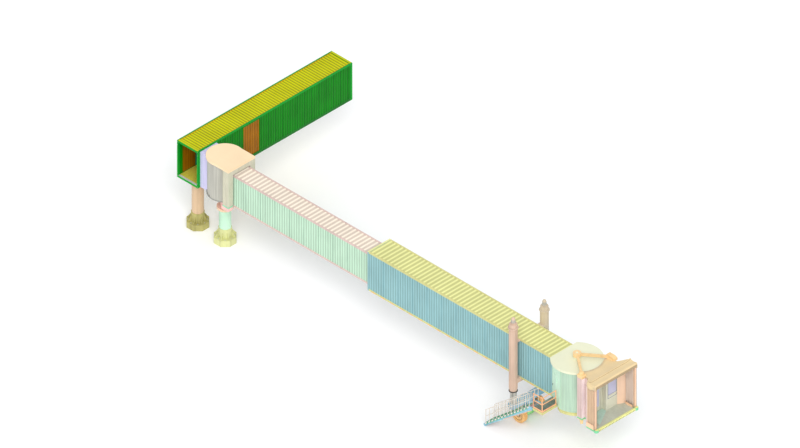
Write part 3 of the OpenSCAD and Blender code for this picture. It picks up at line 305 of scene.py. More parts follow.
BASE_TOP = 0.45
ANCHOR_CIRCLE = 0.62
ANCHOR_SIZE = 0.03
SLEEVE_TOP = 1.10
LIP_H = 0.03
LIP_OUTLINE = [(0.401, 0), (0.447, 0), (0.447, LIP_H), (0.415, LIP_H + 0.015), (0.401, LIP_H + 0.015)]
pedestal_x = middle("pedestal_base")[0]
olive = painted("olive_casting", (0.47, 0.43, 0.16), tone=0.16, streak=0.22, roughness=0.62, grain=0.6)
pale_olive = painted("pale_olive_casting", (0.66, 0.67, 0.32), tone=0.12, streak=0.16,
                     roughness=0.62, grain=0.6)
galvanised = painted("galvanised_steel", (0.55, 0.56, 0.52), tone=0.2, streak=0.05, roughness=0.38)
dress(olive, "pedestal_base")
dress(pale_olive, "rotunda_base")
for name, x, finish in [("pedestal", pedestal_x, olive), ("rotunda", 0.0, pale_olive)]:
    in_steel(name + "_anchor_nuts", nut_circle((x, 0, BASE_TOP), UP, ANCHOR_CIRCLE, 8, ANCHOR_SIZE), "root")
    lip = ring_mesh(LIP_OUTLINE, (x, 0, SLEEVE_TOP - LIP_H), UP)
    piece(name + "_sleeve_lip", [lip], finish, "root", 40)


# Columns of the walkway and the rotunda
# Rolled steel tubes, painted, with girth beads. The walkway's tan tube carries a crosshead
# with two ribs, and the rotunda's mint tube carries the fixed half of the slewing ring.
def ratio(far, near):
    return tuple(f/n for f, n in zip(far, near))


def two_tone(name, near, far, axis, split, soft=0.01):
    """Painted steel with one colour below a place along an axis and another above it."""
    material = painted(name, near)
    tree = material.node_tree
    above = spread(tree, axes(tree, object_place(tree))[axis], split - soft, split + soft)
    return tint(material, ramp(tree, above, 0.0, 1.0, WHITE, ratio(far, near)))


tan = painted("tan_paint", (0.66, 0.47, 0.30), tone=0.08, streak=0.10, roughness=0.34)
mint_colour = (0.55, 0.82, 0.61)
ring_colour = (0.88, 0.62, 0.42)
mint = painted("mint_paint", mint_colour, tone=0.06, streak=0.08, roughness=0.34)
SLEWING_COLLAR = 2.61
dress(tan, "pedestal_column")
dress(two_tone("rotunda_column_paint", mint_colour, ring_colour, 2, SLEWING_COLLAR, 0.002),
      "rotunda_column")
COLUMN_RADIUS = 0.40
GIRTHS = (1.32, 2.4, 3.2)
BEAD = 0.014
BEAD_OUTLINE = [(COLUMN_RADIUS - 0.002, -BEAD), (COLUMN_RADIUS + BEAD/2, 0), (COLUMN_RADIUS - 0.002, BEAD)]
for label, x, heights, finish, slot in [("pedestal", pedestal_x, GIRTHS, tan, "pedestal_tan"),
                                        ("rotunda", 0.0, GIRTHS[:2], mint, "column_mint")]:
    beads = [ring_mesh(BEAD_OUTLINE, (x, 0, h), UP) for h in heights]
    piece(label + "_column_beads", beads, finish, "root", 60)


# Walkway walls, frames and beams
# Ribbed steel sheet between a bottom beam and an edge rail, painted a strong green, with a
# portal frame at each end. The furrows are darkened with painted shade, and the two unused
# openings are closed with rust-orange sheet.
BOX_FACES = [(0, 2, 3, 1), (4, 5, 7, 6), (0, 1, 5, 4), (2, 6, 7, 3), (0, 4, 6, 2), (1, 3, 7, 5)]


def box_mesh(one, other):
    """A box from any corner to the opposite one."""
    xs, ys, zs = [sorted(ends) for ends in zip(one, other)]
    return [(x, y, z) for z in zs for y in ys for x in xs], BOX_FACES


def spaced(start, end, wanted):
    """Places from start to end in equal steps, as near to the wanted step as they can be."""
    count = round((end - start)/wanted)
    return [start + (end - start)*i/count for i in range(count + 1)]


def furrows(node, axis, wanted):
    """Places of a ribbed sheet's furrows, both its ends among them, from its node's box."""
    low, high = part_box(node)
    return spaced(low[axis], high[axis], wanted)


def groove_of(axis, places, crest=0.045):
    """Where painted shade lies on a ribbed sheet; crest is half the width between two furrows."""
    pitch = places[1] - places[0]
    return axis, places[0], pitch, pitch/2 - crest


def ribbed(node, axis, wanted, colour, tone, streak=0.0, name=None):
    """Paints a ribbed sheet with painted shade in its furrows."""
    groove = groove_of(axis, furrows(node, axis, wanted))
    material = painted(name or node, colour, tone, streak, groove=groove)
    dress(material, node)
    return material


RIB = 0.22
RIB_DEPTH = 0.025
leaf_green = (0.0, 0.235, 0.002)
for side in ("left", "right"):
    ribbed(f"walkway_{side}_wall", 1, RIB, leaf_green, 0.14, 0.12)
dress(painted("bright_green", (0.0, 0.31, 0.02), tone=0.10), "walkway_roof_rails", "walkway_frames")
dress(painted("dark_green", (0.006, 0.16, 0.012), tone=0.15), "walkway_beams")
walkway_middle = middle("walkway_frames")[0]
infill_y = [v.co.y for v in nodes["walkway_infills"].data.vertices if v.co.x > walkway_middle]
# The infill's furrows get the same painted shade.
dress(painted("rust_orange", (0.40, 0.15, 0.0), tone=0.18, streak=0.2,
              groove=groove_of(1, spaced(min(infill_y), max(infill_y), RIB), 0.035)), "walkway_infills")
trim_green = painted("trim_green", (0.0, 0.11, 0.006), tone=0.12)
BATTEN_W = 0.028
BATTEN_T = 0.006
BATTEN_EVERY = 3
INFILL_Y = (3.18, 4.72)
REVEAL = 0.08
for label, side, first in [("right", 1, 3), ("left", -1, 9)]:
    low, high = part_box(f"walkway_{label}_wall")
    x = (high if side > 0 else low)[0] - side*RIB_DEPTH
    battens = [box_mesh((x, y - BATTEN_W/2, low[2]), (x + side*BATTEN_T, y + BATTEN_W/2, high[2]))
               for y in furrows(f"walkway_{label}_wall", 1, RIB)[first:-1:BATTEN_EVERY]
               if side < 0 or not INFILL_Y[0] - REVEAL < y < INFILL_Y[1] + REVEAL]
    piece(f"walkway_{label}_battens", battens, trim_green, "root")

frame_low, frame_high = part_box("walkway_frames")
CORNER_INSET = 0.05
CORNER_BOLT_Z = (3.90, 4.15, 6.35, 6.62)
corner_bolts = [nut((x, y, z), (0, out, 0), 0.014)
                for y, out in [(frame_low[1], -1), (frame_high[1], 1)]
                for x in (frame_low[0] + CORNER_INSET, frame_high[0] - CORNER_INSET)
                for z in CORNER_BOLT_Z]
in_steel("walkway_corner_bolts", corner_bolts, "root")


# Walkway roof
# Yellow ribbed sheet laid across, with its furrows sealed by dark beads and a thin orange
# flashing along both edge rails.
def roof_beads(node, axis, wanted, half, height, inset, material, body):
    """Sealing beads in the furrows of a ribbed roof; half is half of a bead's width."""
    low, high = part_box(node)
    foot = high[2] - RIB_DEPTH
    parts = []
    for place in furrows(node, axis, wanted)[1:-1]:
        start = [low[0] + inset, low[1] + inset, foot]
        end = [high[0] - inset, high[1] - inset, foot + height]
        start[axis] = place - half
        end[axis] = place + half
        parts.append(box_mesh(start, end))
    piece(node + "_beads", parts, material, body)


roof_low, roof_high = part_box("walkway_roof")
roof_yellow = ribbed("walkway_roof", 1, RIB, (0.57, 0.58, 0.0), 0.08, name="roof_yellow")
bead_olive = painted("bead_olive", (0.26, 0.24, 0.015), tone=0.2, roughness=0.6)
roof_beads("walkway_roof", 1, RIB, 0.014, 0.012, 0.03, bead_olive, "root")
flashing_orange = painted("flashing_orange", (0.70, 0.27, 0.0), tone=0.1, streak=0.05)
FLASHING_W = 0.035
FLASHING_Z = (roof_high[2] - 0.03, roof_high[2] + 0.008)
CAP_INSET = 0.025
CAP_OVER = 0.03
CAP_Z = (frame_high[2] - 0.002, frame_high[2] + 0.006)
end_caps = [box_mesh((roof_low[0] - CAP_OVER, y0, CAP_Z[0]), (roof_high[0] + CAP_OVER, y1, CAP_Z[1]))
            for y0, y1 in ((frame_low[1] + CAP_INSET, roof_low[1]),
                           (roof_high[1], frame_high[1] - CAP_INSET))]
piece("walkway_end_caps", end_caps, roof_yellow, "root")
flashings = [box_mesh((x, roof_low[1], FLASHING_Z[0]), (x + FLASHING_W, roof_high[1], FLASHING_Z[1]))
             for x in (roof_low[0], roof_high[0] - FLASHING_W)]
piece("walkway_roof_flashings", flashings, flashing_orange, "root")


# Walkway inside
# Ribbed rubber floor, teal lining boards with open joints, a pale ceiling of the same kind,
# and galvanised treads at the two ends.
def waves(tree, axis, scale):
    """Soft bands across an axis, each 0.314 m wide at scale 1."""
    node = tree.nodes.new("ShaderNodeTexWave")
    node.bands_direction = "XYZ"[axis]
    return fill(node, {"Vector": object_place(tree), "Scale": scale})["Fac"]


def rubber(name, colour, pitch=0.03, axis=0):
    """Ribbed rubber mat: fine parallel ribs and worn, slightly paler patches."""
    material = clouded(name, [
        (1.1, 5, 0.35, 0.7, shade(colour, 0.86), shade(colour, 1.1)),
        (14, 6, 0.38, 0.5, shade(WHITE, 0.86), WHITE)], {"Roughness": 0.7})
    bumpy(material, waves(material.node_tree, axis, 0.314/pitch), 0.5, 0.003)
    return material


dress(rubber("yellow_rubber", (0.68, 0.58, 0.06)), "walkway_floor")
lining_teal = painted("lining_teal", (0.02, 0.25, 0.20), tone=0.06, streak=0.0, roughness=0.5)
ceiling_pale = painted("ceiling_pale", (0.72, 0.74, 0.70), tone=0.04, streak=0.0, roughness=0.6)
LINING_T = 0.006
LINING_TOP = 6.52
BOARD_W = 1.2
BOARD_GAP = 0.008
CEILING_Z = (6.586, 6.598)
END_TREAD_W = 0.16
END_TREAD_INSET = 0.01
floor_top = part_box("walkway_floor")[1][2]
left_low, left_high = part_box("walkway_left_wall")
left_x = frame_low[0] + 0.10
right_x = frame_high[0] - 0.10


def boards(x0, x1, start, end, z0, z1):
    """Boards side by side along the walkway, with open joints."""
    places = spaced(start, end, BOARD_W)
    return [box_mesh((x0, a, z0), (x1, b - BOARD_GAP, z1)) for a, b in zip(places, places[1:])]


lining = []
for x, start, end in [(left_x, 0.64, left_high[1]), (right_x - LINING_T, 0.90, INFILL_Y[0]),
                      (right_x - LINING_T, INFILL_Y[1], left_high[1])]:
    lining += boards(x, x + LINING_T, start, end, floor_top, LINING_TOP)
piece("walkway_lining", lining, lining_teal, "root")
ceiling = boards(left_x, right_x, left_low[1], left_high[1], *CEILING_Z)
piece("walkway_ceiling", ceiling, ceiling_pale, "root")
treads = [box_mesh((left_x, y, floor_top), (right_x, y + END_TREAD_W, floor_top + 0.005))
          for y in (frame_low[1] + END_TREAD_INSET, frame_high[1] - END_TREAD_INSET - END_TREAD_W)]
in_steel("walkway_end_treads", treads, "root")


# Vestibule and slatted curtains of the rotunda
# A short lavender passage leads from the walkway to grey aluminium curtains, which roll
# behind one another as the rotunda turns.
def slatted(name, colour, dark):
    """Anodised slats, brushed along their length, with a broad cloudy tone."""
    material = clouded(name, [
        (9, 5, 0.3, 0.7, dark, colour, (1, 1, 0.03)),
        (0.8, 3, 0.3, 0.7, shade(WHITE, 0.92), WHITE)], {"Metallic": 0.25})
    tree = material.node_tree
    rough = spread(tree, object_noise(tree, 22, 3, (1, 1, 0.03)), 0, 1, 0.32, 0.5)
    fill(shader_of(material), {"Roughness": rough})
    return material


dress(painted("lavender_paint", (0.60, 0.57, 0.80), tone=0.06), "vestibule")
dress(slatted("grey_slats", (0.54, 0.53, 0.46), (0.40, 0.39, 0.34)), "fixed_curtains", "moving_curtains")


# Rotunda
# A peach roof plate over beige walls with upright ribs, on a floor plate with green edges. A
# pink frame below it turns on an orange slewing ring, and its ears carry the hinge pins.
beige = painted("beige_wall", (0.61, 0.59, 0.46), tone=0.06, streak=0.12)
pink_colour = (0.87, 0.54, 0.50)
RING_TOP = 2.79
SHELL_X = 0.995
dress(painted("peach_roof", (0.88, 0.68, 0.44), tone=0.05, streak=0.0, roughness=0.5), "rotunda_roof")
dress(beige, "rotunda_shell")
dress(two_tone("rotunda_yoke_paint", ring_colour, pink_colour, 2, RING_TOP, 0.002), "rotunda_yoke")
dress(two_tone("rotunda_floor_paint", (0.34, 0.34, 0.31), (0.30, 0.66, 0.42), 0, SHELL_X, 0.002),
      "rotunda_floor")
RIB_W = 0.055
RIB_T = 0.022
FRONT_RIB_T = 0.012
CHEEK_RIBS = (1.035, 1.195, 1.355)
FRONT_RIBS = (0.84, 1.00, 1.13)
shell_low, shell_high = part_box("rotunda_shell")
front = shell_high[0]
foot = shell_low[2] + 0.02
head = shell_high[2] - 0.005
ribs = []
for side in (-1, 1):
    face = side*shell_high[1]
    ribs += [box_mesh((x, face, foot), (x + RIB_W, face + side*RIB_T, head)) for x in CHEEK_RIBS]
    ribs += [box_mesh((front, side*y, foot), (front + FRONT_RIB_T, side*(y + RIB_W), head))
             for y in FRONT_RIBS]
piece("rotunda_wall_ribs", ribs, beige, "rotunda")
RING_RADIUS = 0.55
RING_BOLT_Z = 2.745
ring_bolts = []
for a in round_angles(24):
    out = Vector((math.cos(a), math.sin(a), 0))
    ring_bolts.append(nut(out*RING_RADIUS + Vector((0, 0, RING_BOLT_Z)), out, 0.016))
in_steel("slewing_ring_bolts", ring_bolts, "rotunda")
PIN_X = 1.40
PIN_Z = 3.70
EAR_FACES = ((0.275, -1), (0.545, 1))
PIN_CAP = [(0.055, 0), (0.055, 0.012), (0.045, 0.016)]
pin_caps = [lathe_mesh(PIN_CAP, (PIN_X, side*y, PIN_Z), (0, side*out, 0), 24)
            for side in (-1, 1) for y, out in EAR_FACES]
in_steel("hinge_pin_caps", pin_caps, "rotunda", 40)


# Inner tunnel
# Mint ribbed walls and a cream ribbed roof between pink edge rails, bolted along the lower
# rail, with a rubber floor inside.
ROOF_RIB = 0.337
COVER_HALF = 0.016
COVER_T = 0.010
COVER_EVERY = 6
END_INSET = 0.01


def joint_covers(tunnel, finish):
    """Cover strips over every few furrows of a tunnel's two walls."""
    parts = []
    for label, side in (("left", 1), ("right", -1)):
        node = f"{tunnel}_{label}_wall"
        low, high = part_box(node)
        face = (low if side < 0 else high)[1] - side*RIB_DEPTH
        parts += [box_mesh((x - COVER_HALF, face, low[2] + END_INSET),
                           (x + COVER_HALF, face + side*COVER_T, high[2] - END_INSET))
                  for x in furrows(node, 0, RIB)[COVER_EVERY:-1:COVER_EVERY]]
    piece(f"{tunnel}_joint_covers", parts, finish, tunnel)


def rail_bolts(tunnel, z, start, end, pitch):
    """Bolts along both lower rails, from start to so far before the end."""
    low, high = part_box(f"{tunnel}_rails")
    count = int((high[0] - end - low[0] - start)/pitch) + 1
    bolts = [nut((low[0] + start + i*pitch, side*(high[1] - 0.001), z), (0, side, 0), 0.013)
             for side in (-1, 1) for i in range(count)]
    in_steel(f"{tunnel}_rail_bolts", bolts, tunnel)


for side in ("left", "right"):
    ribbed(f"tunnel_a_{side}_wall", 0, RIB, (0.54, 0.75, 0.58), 0.05, 0.10)
ribbed("tunnel_a_roof", 0, ROOF_RIB, (0.93, 0.82, 0.69), 0.05, name="cream_roof")
dress(painted("rail_pink", (0.67, 0.51, 0.46), tone=0.08), "tunnel_a_rails")
dress(rubber("grey_rubber", (0.30, 0.31, 0.28), axis=1), "tunnel_a_floor", "tunnel_b_floor")
joint_covers("tunnel_a", painted("mint_shadow", (0.34, 0.50, 0.38)))
rose_bead = painted("rose_bead", (0.62, 0.46, 0.42), roughness=0.6)
roof_beads("tunnel_a_roof", 0, ROOF_RIB, 0.012, 0.01, END_INSET, rose_bead, "tunnel_a")
rail_bolts("tunnel_a", 3.87, 0.3, 0.3, 0.66)


# Outer tunnel
# Blue ribbed walls and a pale yellow ribbed roof between yellow rails. Orange clips sit on
# the lower rail, and a black brush closes the gap round the inner tunnel.
tunnel_blue = (0.30, 0.52, 0.54)
for side in ("left", "right"):
    ribbed(f"tunnel_b_{side}_wall", 0, RIB, tunnel_blue, 0.06, 0.12)
portal_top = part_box("tunnel_b_portal")[1][2]
dress(two_tone("portal_paint", shade(tunnel_blue, 0.92), (0.76, 0.76, 0.34), 2,
               portal_top - 0.012, 0.004), "tunnel_b_portal")
ribbed("tunnel_b_roof", 0, ROOF_RIB, (0.80, 0.80, 0.35), 0.06, name="pale_yellow_roof")
rail_yellow = painted("rail_yellow", (0.64, 0.61, 0.26), tone=0.08)
dress(rail_yellow, "tunnel_b_rails")
joint_covers("tunnel_b", painted("blue_shadow", (0.20, 0.40, 0.44)))
straw_bead = painted("straw_bead", (0.50, 0.50, 0.20), roughness=0.6)
roof_beads("tunnel_b_roof", 0, ROOF_RIB, 0.012, 0.01, END_INSET, straw_bead, "tunnel_b")
LIFT_X = 27.7
CLIP_FIRST = 0.25
CLIP_PITCH = 0.85
CLIP_L = 0.34
CLIP_T = 0.014
CLIP_Z = (0.01, 0.07)
b_low, b_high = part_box("tunnel_b_rails")
clips = []
for side in (-1, 1):
    face = side*b_high[1]
    for i in range(int((b_high[0] - b_low[0])/CLIP_PITCH)):
        x = b_low[0] + CLIP_FIRST + i*CLIP_PITCH
        if abs(x + CLIP_L/2 - LIFT_X) >= 0.5:
            clips.append(box_mesh((x, face, b_low[2] + CLIP_Z[0]),
                                  (x + CLIP_L, face + side*CLIP_T, b_low[2] + CLIP_Z[1])))
clip_orange = painted("clip_orange", (0.85, 0.50, 0.20), tone=0.08)
piece("tunnel_b_rail_clips", clips, clip_orange, "tunnel_b")
rail_bolts("tunnel_b", 3.705, 0.6, 0.5, 0.85)
brush_black = clouded("brush_black", [
    (160, 3, 0.3, 0.7, (0.01, 0.01, 0.01), (0.06, 0.06, 0.06), (1, 1, 0.05))], {"Roughness": 0.9})
BRUSH_X = (14.03, 14.06)
BRUSH_Y = (0.754, 0.776)
BRUSH_Z = (3.97, 6.225)
TOP_BRUSH_Y = 0.62
TOP_BRUSH_Z = (6.232, 6.259)
brushes = [box_mesh((BRUSH_X[0], side*BRUSH_Y[0], BRUSH_Z[0]), (BRUSH_X[1], side*BRUSH_Y[1], BRUSH_Z[1]))
           for side in (-1, 1)]
brushes.append(box_mesh((BRUSH_X[0], -TOP_BRUSH_Y, TOP_BRUSH_Z[0]),
                        (BRUSH_X[1], TOP_BRUSH_Y, TOP_BRUSH_Z[1])))
piece("tunnel_b_brushes", brushes, brush_black, "tunnel_b")


# Lift columns
# Two fluted steel tubes with a bolted flange and a screw motor on top. The near one is
# painted pink-brown and the far one sand, and bright legs slide out of their lower ends.
def band(centre, axis, inner, outer, thickness, sides=48):
    return ring_mesh([(inner, 0), (outer, 0), (outer, thickness), (inner, thickness)],
                     centre, axis, sides)


dress(two_tone("lift_paint", (0.66, 0.48, 0.37), (0.61, 0.51, 0.37), 1, 0.0), "lift_columns")
SIDES = ((-1, "near"), (1, "far"))
LIFT_Y = 1.42
LIFT_HEAD = 8.00
FLANGE_TOP = LIFT_HEAD - 0.27
FLANGE_CIRCLE = 0.315
FIN_PITCH = 0.035
WIPER_Z = 2.72
for side, label in SIDES:
    y = side*LIFT_Y
    bolts = nut_circle((LIFT_X, y, FLANGE_TOP), UP, FLANGE_CIRCLE, 12, 0.018, 0.5)
    in_steel(f"lift_{label}_flange_bolts", bolts, "tunnel_b")
    fins = [band((LIFT_X, y, LIFT_HEAD + 0.10 + FIN_PITCH*i), UP, 0.128, 0.146, 0.012, 32)
            for i in range(7)]
    in_steel(f"lift_{label}_motor_fins", fins, "tunnel_b")
    wiper = band((LIFT_X, y, WIPER_Z), UP, 0.232, 0.30, 0.05)
    piece(f"lift_{label}_wiper", [wiper], brush_black, "tunnel_b", 40)


# Lift legs and cross beam
# Ground steel legs, greased and faintly streaked, welded to a painted box beam over the
# steering ring.
BEAM_TOP = 1.70
beam_blue = (0.26, 0.52, 0.68)
steel = blank_material("leg_steel")
tree = steel.node_tree
ground_steel = ramp(tree, object_noise(tree, 8, 5, (1, 1, 0.05)), 0.3, 0.7,
                    (0.42, 0.40, 0.36), (0.66, 0.64, 0.60))
beam_paint = ramp(tree, object_noise(tree, 0.7, 5), 0.32, 0.68, shade(beam_blue, 0.9), shade(beam_blue, 1.04))
over_beam = (axes(tree, object_place(tree))["Z"], BEAM_TOP + 0.001, BEAM_TOP + 0.004)
fill(shader_of(steel), {
    "Base Color": mix(tree, spread(tree, *over_beam), beam_paint, ground_steel),
    "Metallic": spread(tree, *over_beam, 0, 0.8),
    "Roughness": spread(tree, object_noise(tree, 12, 4, (1, 1, 0.05)), 0, 1, 0.2, 0.42)})
dress(steel, "lift_legs")
bogie_blue = painted("bogie_blue", beam_blue, tone=0.10, streak=0.15)
SKIN = 0.006


def surround(low, high, width):
    """Four bars round a rectangle in a plane, each as two opposite corners."""
    (a, b), (c, d) = low, high
    return [((a - width, b - width), (a, d + width)), ((c, b - width), (c + width, d + width)),
            ((a, b - width), (c, b)), ((a, d), (c, d + width))]


beam_low, beam_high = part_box("lift_legs")
skins = [box_mesh((*one, beam_low[2] + 0.02), (*other, BEAM_TOP))
         for one, other in surround(beam_low[:2], beam_high[:2], SKIN)]
piece("cross_beam_skin", skins, bogie_blue, "lift")
collars = [band((LIFT_X, side*LIFT_Y, BEAM_TOP), UP, 0.23, 0.29, 0.05) for side in (-1, 1)]
piece("leg_collars", collars, bogie_blue, "lift", 40)


# Bogie and wheels
# A blue steering frame round two green gear drums, and two solid tyres on orange rims with
# wheel nuts. The tyres are moulded orange rubber with three grooves round the tread.
def tyre_rubber(name, colour):
    """Moulded rubber with a fine grain and a little dust."""
    material = clouded(name, [
        (3, 5, 0.3, 0.7, shade(colour, 0.8), colour),
        (30, 6, 0.35, 0.5, (0.82, 0.8, 0.78), WHITE)], {"Roughness": 0.75})
    bumpy(material, object_noise(material.node_tree, 70, 3), 0.4, 0.003)
    return material


dress(bogie_blue, "bogie")
WHEEL_R = 0.60
WHEEL_W = 0.36
RIM_R = 0.385
AXLE_R = 0.075
SHOULDER = (0.06, 0.055)
GROOVES = (0.075, 0.0, -0.075)
GROOVE_DEPTH = 0.018
GEAR_Y = 0.06
GEAR_W = 0.445
GEAR_CIRCLE = 0.365
GEAR_OUTLINE = [(0.29, 0), (0.385, 0), (0.385, 0.03), (0.345, 0.045), (0.345, 0.20), (0.36, 0.21),
                (0.36, 0.24), (0.345, 0.25), (0.345, 0.40), (0.385, 0.415), (0.385, GEAR_W), (0.29, GEAR_W)]
gear_drums, gear_bolts = [], []
for side in (-1, 1):
    gear_drums.append(ring_mesh(GEAR_OUTLINE, (LIFT_X, side*GEAR_Y, WHEEL_R), (0, side, 0), 64))
    gear_bolts += nut_circle((LIFT_X, side*(GEAR_Y + GEAR_W), WHEEL_R), (0, side, 0), GEAR_CIRCLE,
                             12, 0.013, 0.5)
gear_green = painted("gear_green", (0.36, 0.78, 0.30), tone=0.12, streak=0.15)
piece("gear_drums", gear_drums, gear_green, "bogie", 40)
in_steel("gear_drum_bolts", gear_bolts, "bogie")


def tyre_outline():
    """Rounded shoulders and three grooves across the tread, as (radius, height)."""
    half = WHEEL_W/2
    side_wall = [(RIM_R - 0.01, half*0.80), (RIM_R + 0.01, half*0.88), (RIM_R + 0.07, half)]
    for a in [math.radians(90 - 15*k) for k in range(7)]:
        side_wall.append((WHEEL_R - SHOULDER[0]*(1 - math.cos(a)), half - SHOULDER[1]*(1 - math.sin(a))))
    tread = []
    for h in GROOVES:
        tread += [(WHEEL_R, h + 0.016), (WHEEL_R - GROOVE_DEPTH, h + 0.010),
                  (WHEEL_R - GROOVE_DEPTH, h - 0.010), (WHEEL_R, h - 0.016)]
    return side_wall + tread + [(r, -h) for r, h in reversed(side_wall)]


tyre_orange = tyre_rubber("tyre_orange", (1.0, 0.58, 0.22))
rim_orange = painted("rim_orange", (1.0, 0.62, 0.28), tone=0.10)
rim_dark = painted("rim_dark", (0.30, 0.16, 0.08), tone=0.1, roughness=0.6)
RIM_LINES = ((RIM_R, 0.13, 0.166), (RIM_R, -0.166, -0.13), (0.16, 0.09, 0.154))
LINE_HALF = 0.014
DISH = [(AXLE_R, -0.06), (RIM_R - 0.03, -0.06), (RIM_R - 0.012, -0.16), (RIM_R, -0.16),
        (RIM_R, 0.155), (RIM_R - 0.02, 0.155), (RIM_R - 0.05, 0.11), (0.26, 0.095), (0.17, 0.10),
        (0.15, 0.15), (AXLE_R, 0.15)]
HUB_CAP = [(0.11, 0.15), (0.11, 0.165), (0.06, 0.178)]
WHEEL_NUTS = 0.215
NUT_FACE = 0.097
for name, side in (("wheel_left", 1), ("wheel_right", -1)):
    x, y, z = middle(name)
    axle = (0, side, 0)
    tyre = piece(name + "_tyre", [ring_mesh(tyre_outline(), (x, y, z), axle, 96)],
                 tyre_orange, name, 35)
    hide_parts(name)
    lines = [band((x, y + side*low, z), axle, r - LINE_HALF, r + LINE_HALF, high - low, 96)
             for r, low, high in RIM_LINES]
    piece(name + "_rim_lines", lines, rim_dark, name, 35)
    piece(name + "_rim", [ring_mesh(DISH, (x, y, z), axle, 64)], rim_orange, name, 35)
    nuts = nut_circle((x, y + side*NUT_FACE, z), axle, WHEEL_NUTS, 10, 0.018)
    in_steel(name + "_nuts", [lathe_mesh(HUB_CAP, (x, y, z), axle), *nuts], name, 40)


# Cab drum
# A cream roof disc over green slats and two straight panels, standing on a floor with a
# yellow rim. The near panel has the service door with a dark lever handle.
def rod_mesh(start, end, radius, sides=10):
    along = Vector(end) - Vector(start)
    return lathe_mesh([(radius, 0), (radius, along.length)], start, along, sides)


dress(painted("drum_cream", (0.75, 0.76, 0.56), tone=0.04, streak=0.0, roughness=0.5), "drum_roof")
dress(rail_yellow, "drum_floor")
dress(slatted("green_slats", (0.52, 0.71, 0.54), (0.40, 0.55, 0.43)), "drum_slats", "cab_curtains")
dress(painted("panel_green", (0.63, 0.87, 0.69), tone=0.05), "drum_panels", "service_door")
DRUM_X = 32.1
PANEL_START = Vector((30.85, -1.015, 0))
PANEL_END = Vector((32.187, -1.658, 0))
HANDLE_ALONG = 0.20
HANDLE_Z = 4.75
HANDLE_OUT = 0.055
LEVER_L = 0.13
ROSE = [(0.035, 0), (0.035, 0.01), (0.02, 0.014)]
along = (PANEL_END - PANEL_START).normalized()
out = Vector((along.y, -along.x, 0))
rose_at = PANEL_START + HANDLE_ALONG*along + 0.02*out + Vector((0, 0, HANDLE_Z))
lever_at = rose_at + HANDLE_OUT*out
handle_parts = [rod_mesh(rose_at, lever_at, 0.013), rod_mesh(lever_at, lever_at + LEVER_L*along, 0.012),
                lathe_mesh(ROSE, rose_at, out, 24)]
handle_dark = painted("handle_dark", (0.05, 0.06, 0.07), tone=0.1, roughness=0.35)
piece("service_door_handle", handle_parts, handle_dark, "service_door", 40)


# Landing
# A steel platform with chequer plate, yellow edge beams and orange rails whose lower half is
# filled with dark welded mesh.
chequer = clouded("chequer_plate", [
    (2, 5, 0.3, 0.7, (0.30, 0.31, 0.24), (0.42, 0.43, 0.35))], {"Metallic": 0.5, "Roughness": 0.5})
tree = chequer.node_tree
checks = fill(tree.nodes.new("ShaderNodeTexVoronoi"), {"Vector": object_place(tree), "Scale": 22})
bumpy(chequer, checks["Distance"], 0.6, 0.004)
dress(chequer, "landing_deck")
rail_orange = painted("rail_orange", (0.92, 0.48, 0.26), tone=0.08)
dress(rail_orange, "landing_rails")
EDGE_X = (30.905, 31.775)
EDGE_Y = -2.855
EDGE_Z = (3.50, 3.675)
EDGE_T = 0.005
edge_parts = [box_mesh((x0, EDGE_Y, EDGE_Z[0]), (x1, y1, EDGE_Z[1])) for x0, x1, y1 in [
    (*EDGE_X, EDGE_Y + EDGE_T), (EDGE_X[1] - EDGE_T, EDGE_X[1], -1.52),
    (EDGE_X[0], EDGE_X[0] + EDGE_T, -1.10)]]
piece("landing_edge", edge_parts, rail_yellow, "tunnel_b")
mesh_dark = painted("mesh_dark", (0.10, 0.13, 0.11), tone=0.1, roughness=0.5)
WIRE = 0.005
MESH_PITCH = 0.045
MESH_Z = (3.80, 4.25)


def welded_mesh(start, end):
    """Upright and level wires between two posts, from the kick plate to the knee rail."""
    start, end = Vector(start), Vector(end)
    along = (end - start).normalized()
    uprights = [start + along*(i + 0.5)*MESH_PITCH for i in range(int((end - start).length/MESH_PITCH))]
    levels = [MESH_Z[0] + i*MESH_PITCH for i in range(int((MESH_Z[1] - MESH_Z[0])/MESH_PITCH) + 1)]
    return ([rod_mesh((*foot, MESH_Z[0]), (*foot, MESH_Z[1]), WIRE, 6) for foot in uprights]
            + [rod_mesh((*start, z), (*end, z), WIRE, 6) for z in levels])


wires = welded_mesh((30.96, -2.82), (31.72, -2.82)) + welded_mesh((31.74, -2.80), (31.74, -1.60))
piece("landing_mesh", wires, mesh_dark, "tunnel_b")


# Service stair
# Two blue channel stringers with pink treads, each with a green nosing, between beige tube
# rails with many balusters. An orange strip runs along the foot of the outer stringer.
STAIR_FACE = -2.85
STAIR_SLOPE = 3.41/4.16
STAIR_TOP = (30.58, 3.63)


def face_plate(start, end, height, out):
    """A thin plate on the outer stringer's face, so high above a line between (x, z) points."""
    return [(x, y, z + h) for h in (0, height) for y in (STAIR_FACE - out, STAIR_FACE)
            for x, z in (start, end)], BOX_FACES


def below_edge(x, drop):
    """A place so far below the stringer's upper edge, as (x, z)."""
    return x, STAIR_TOP[1] - (STAIR_TOP[0] - x)*STAIR_SLOPE - drop


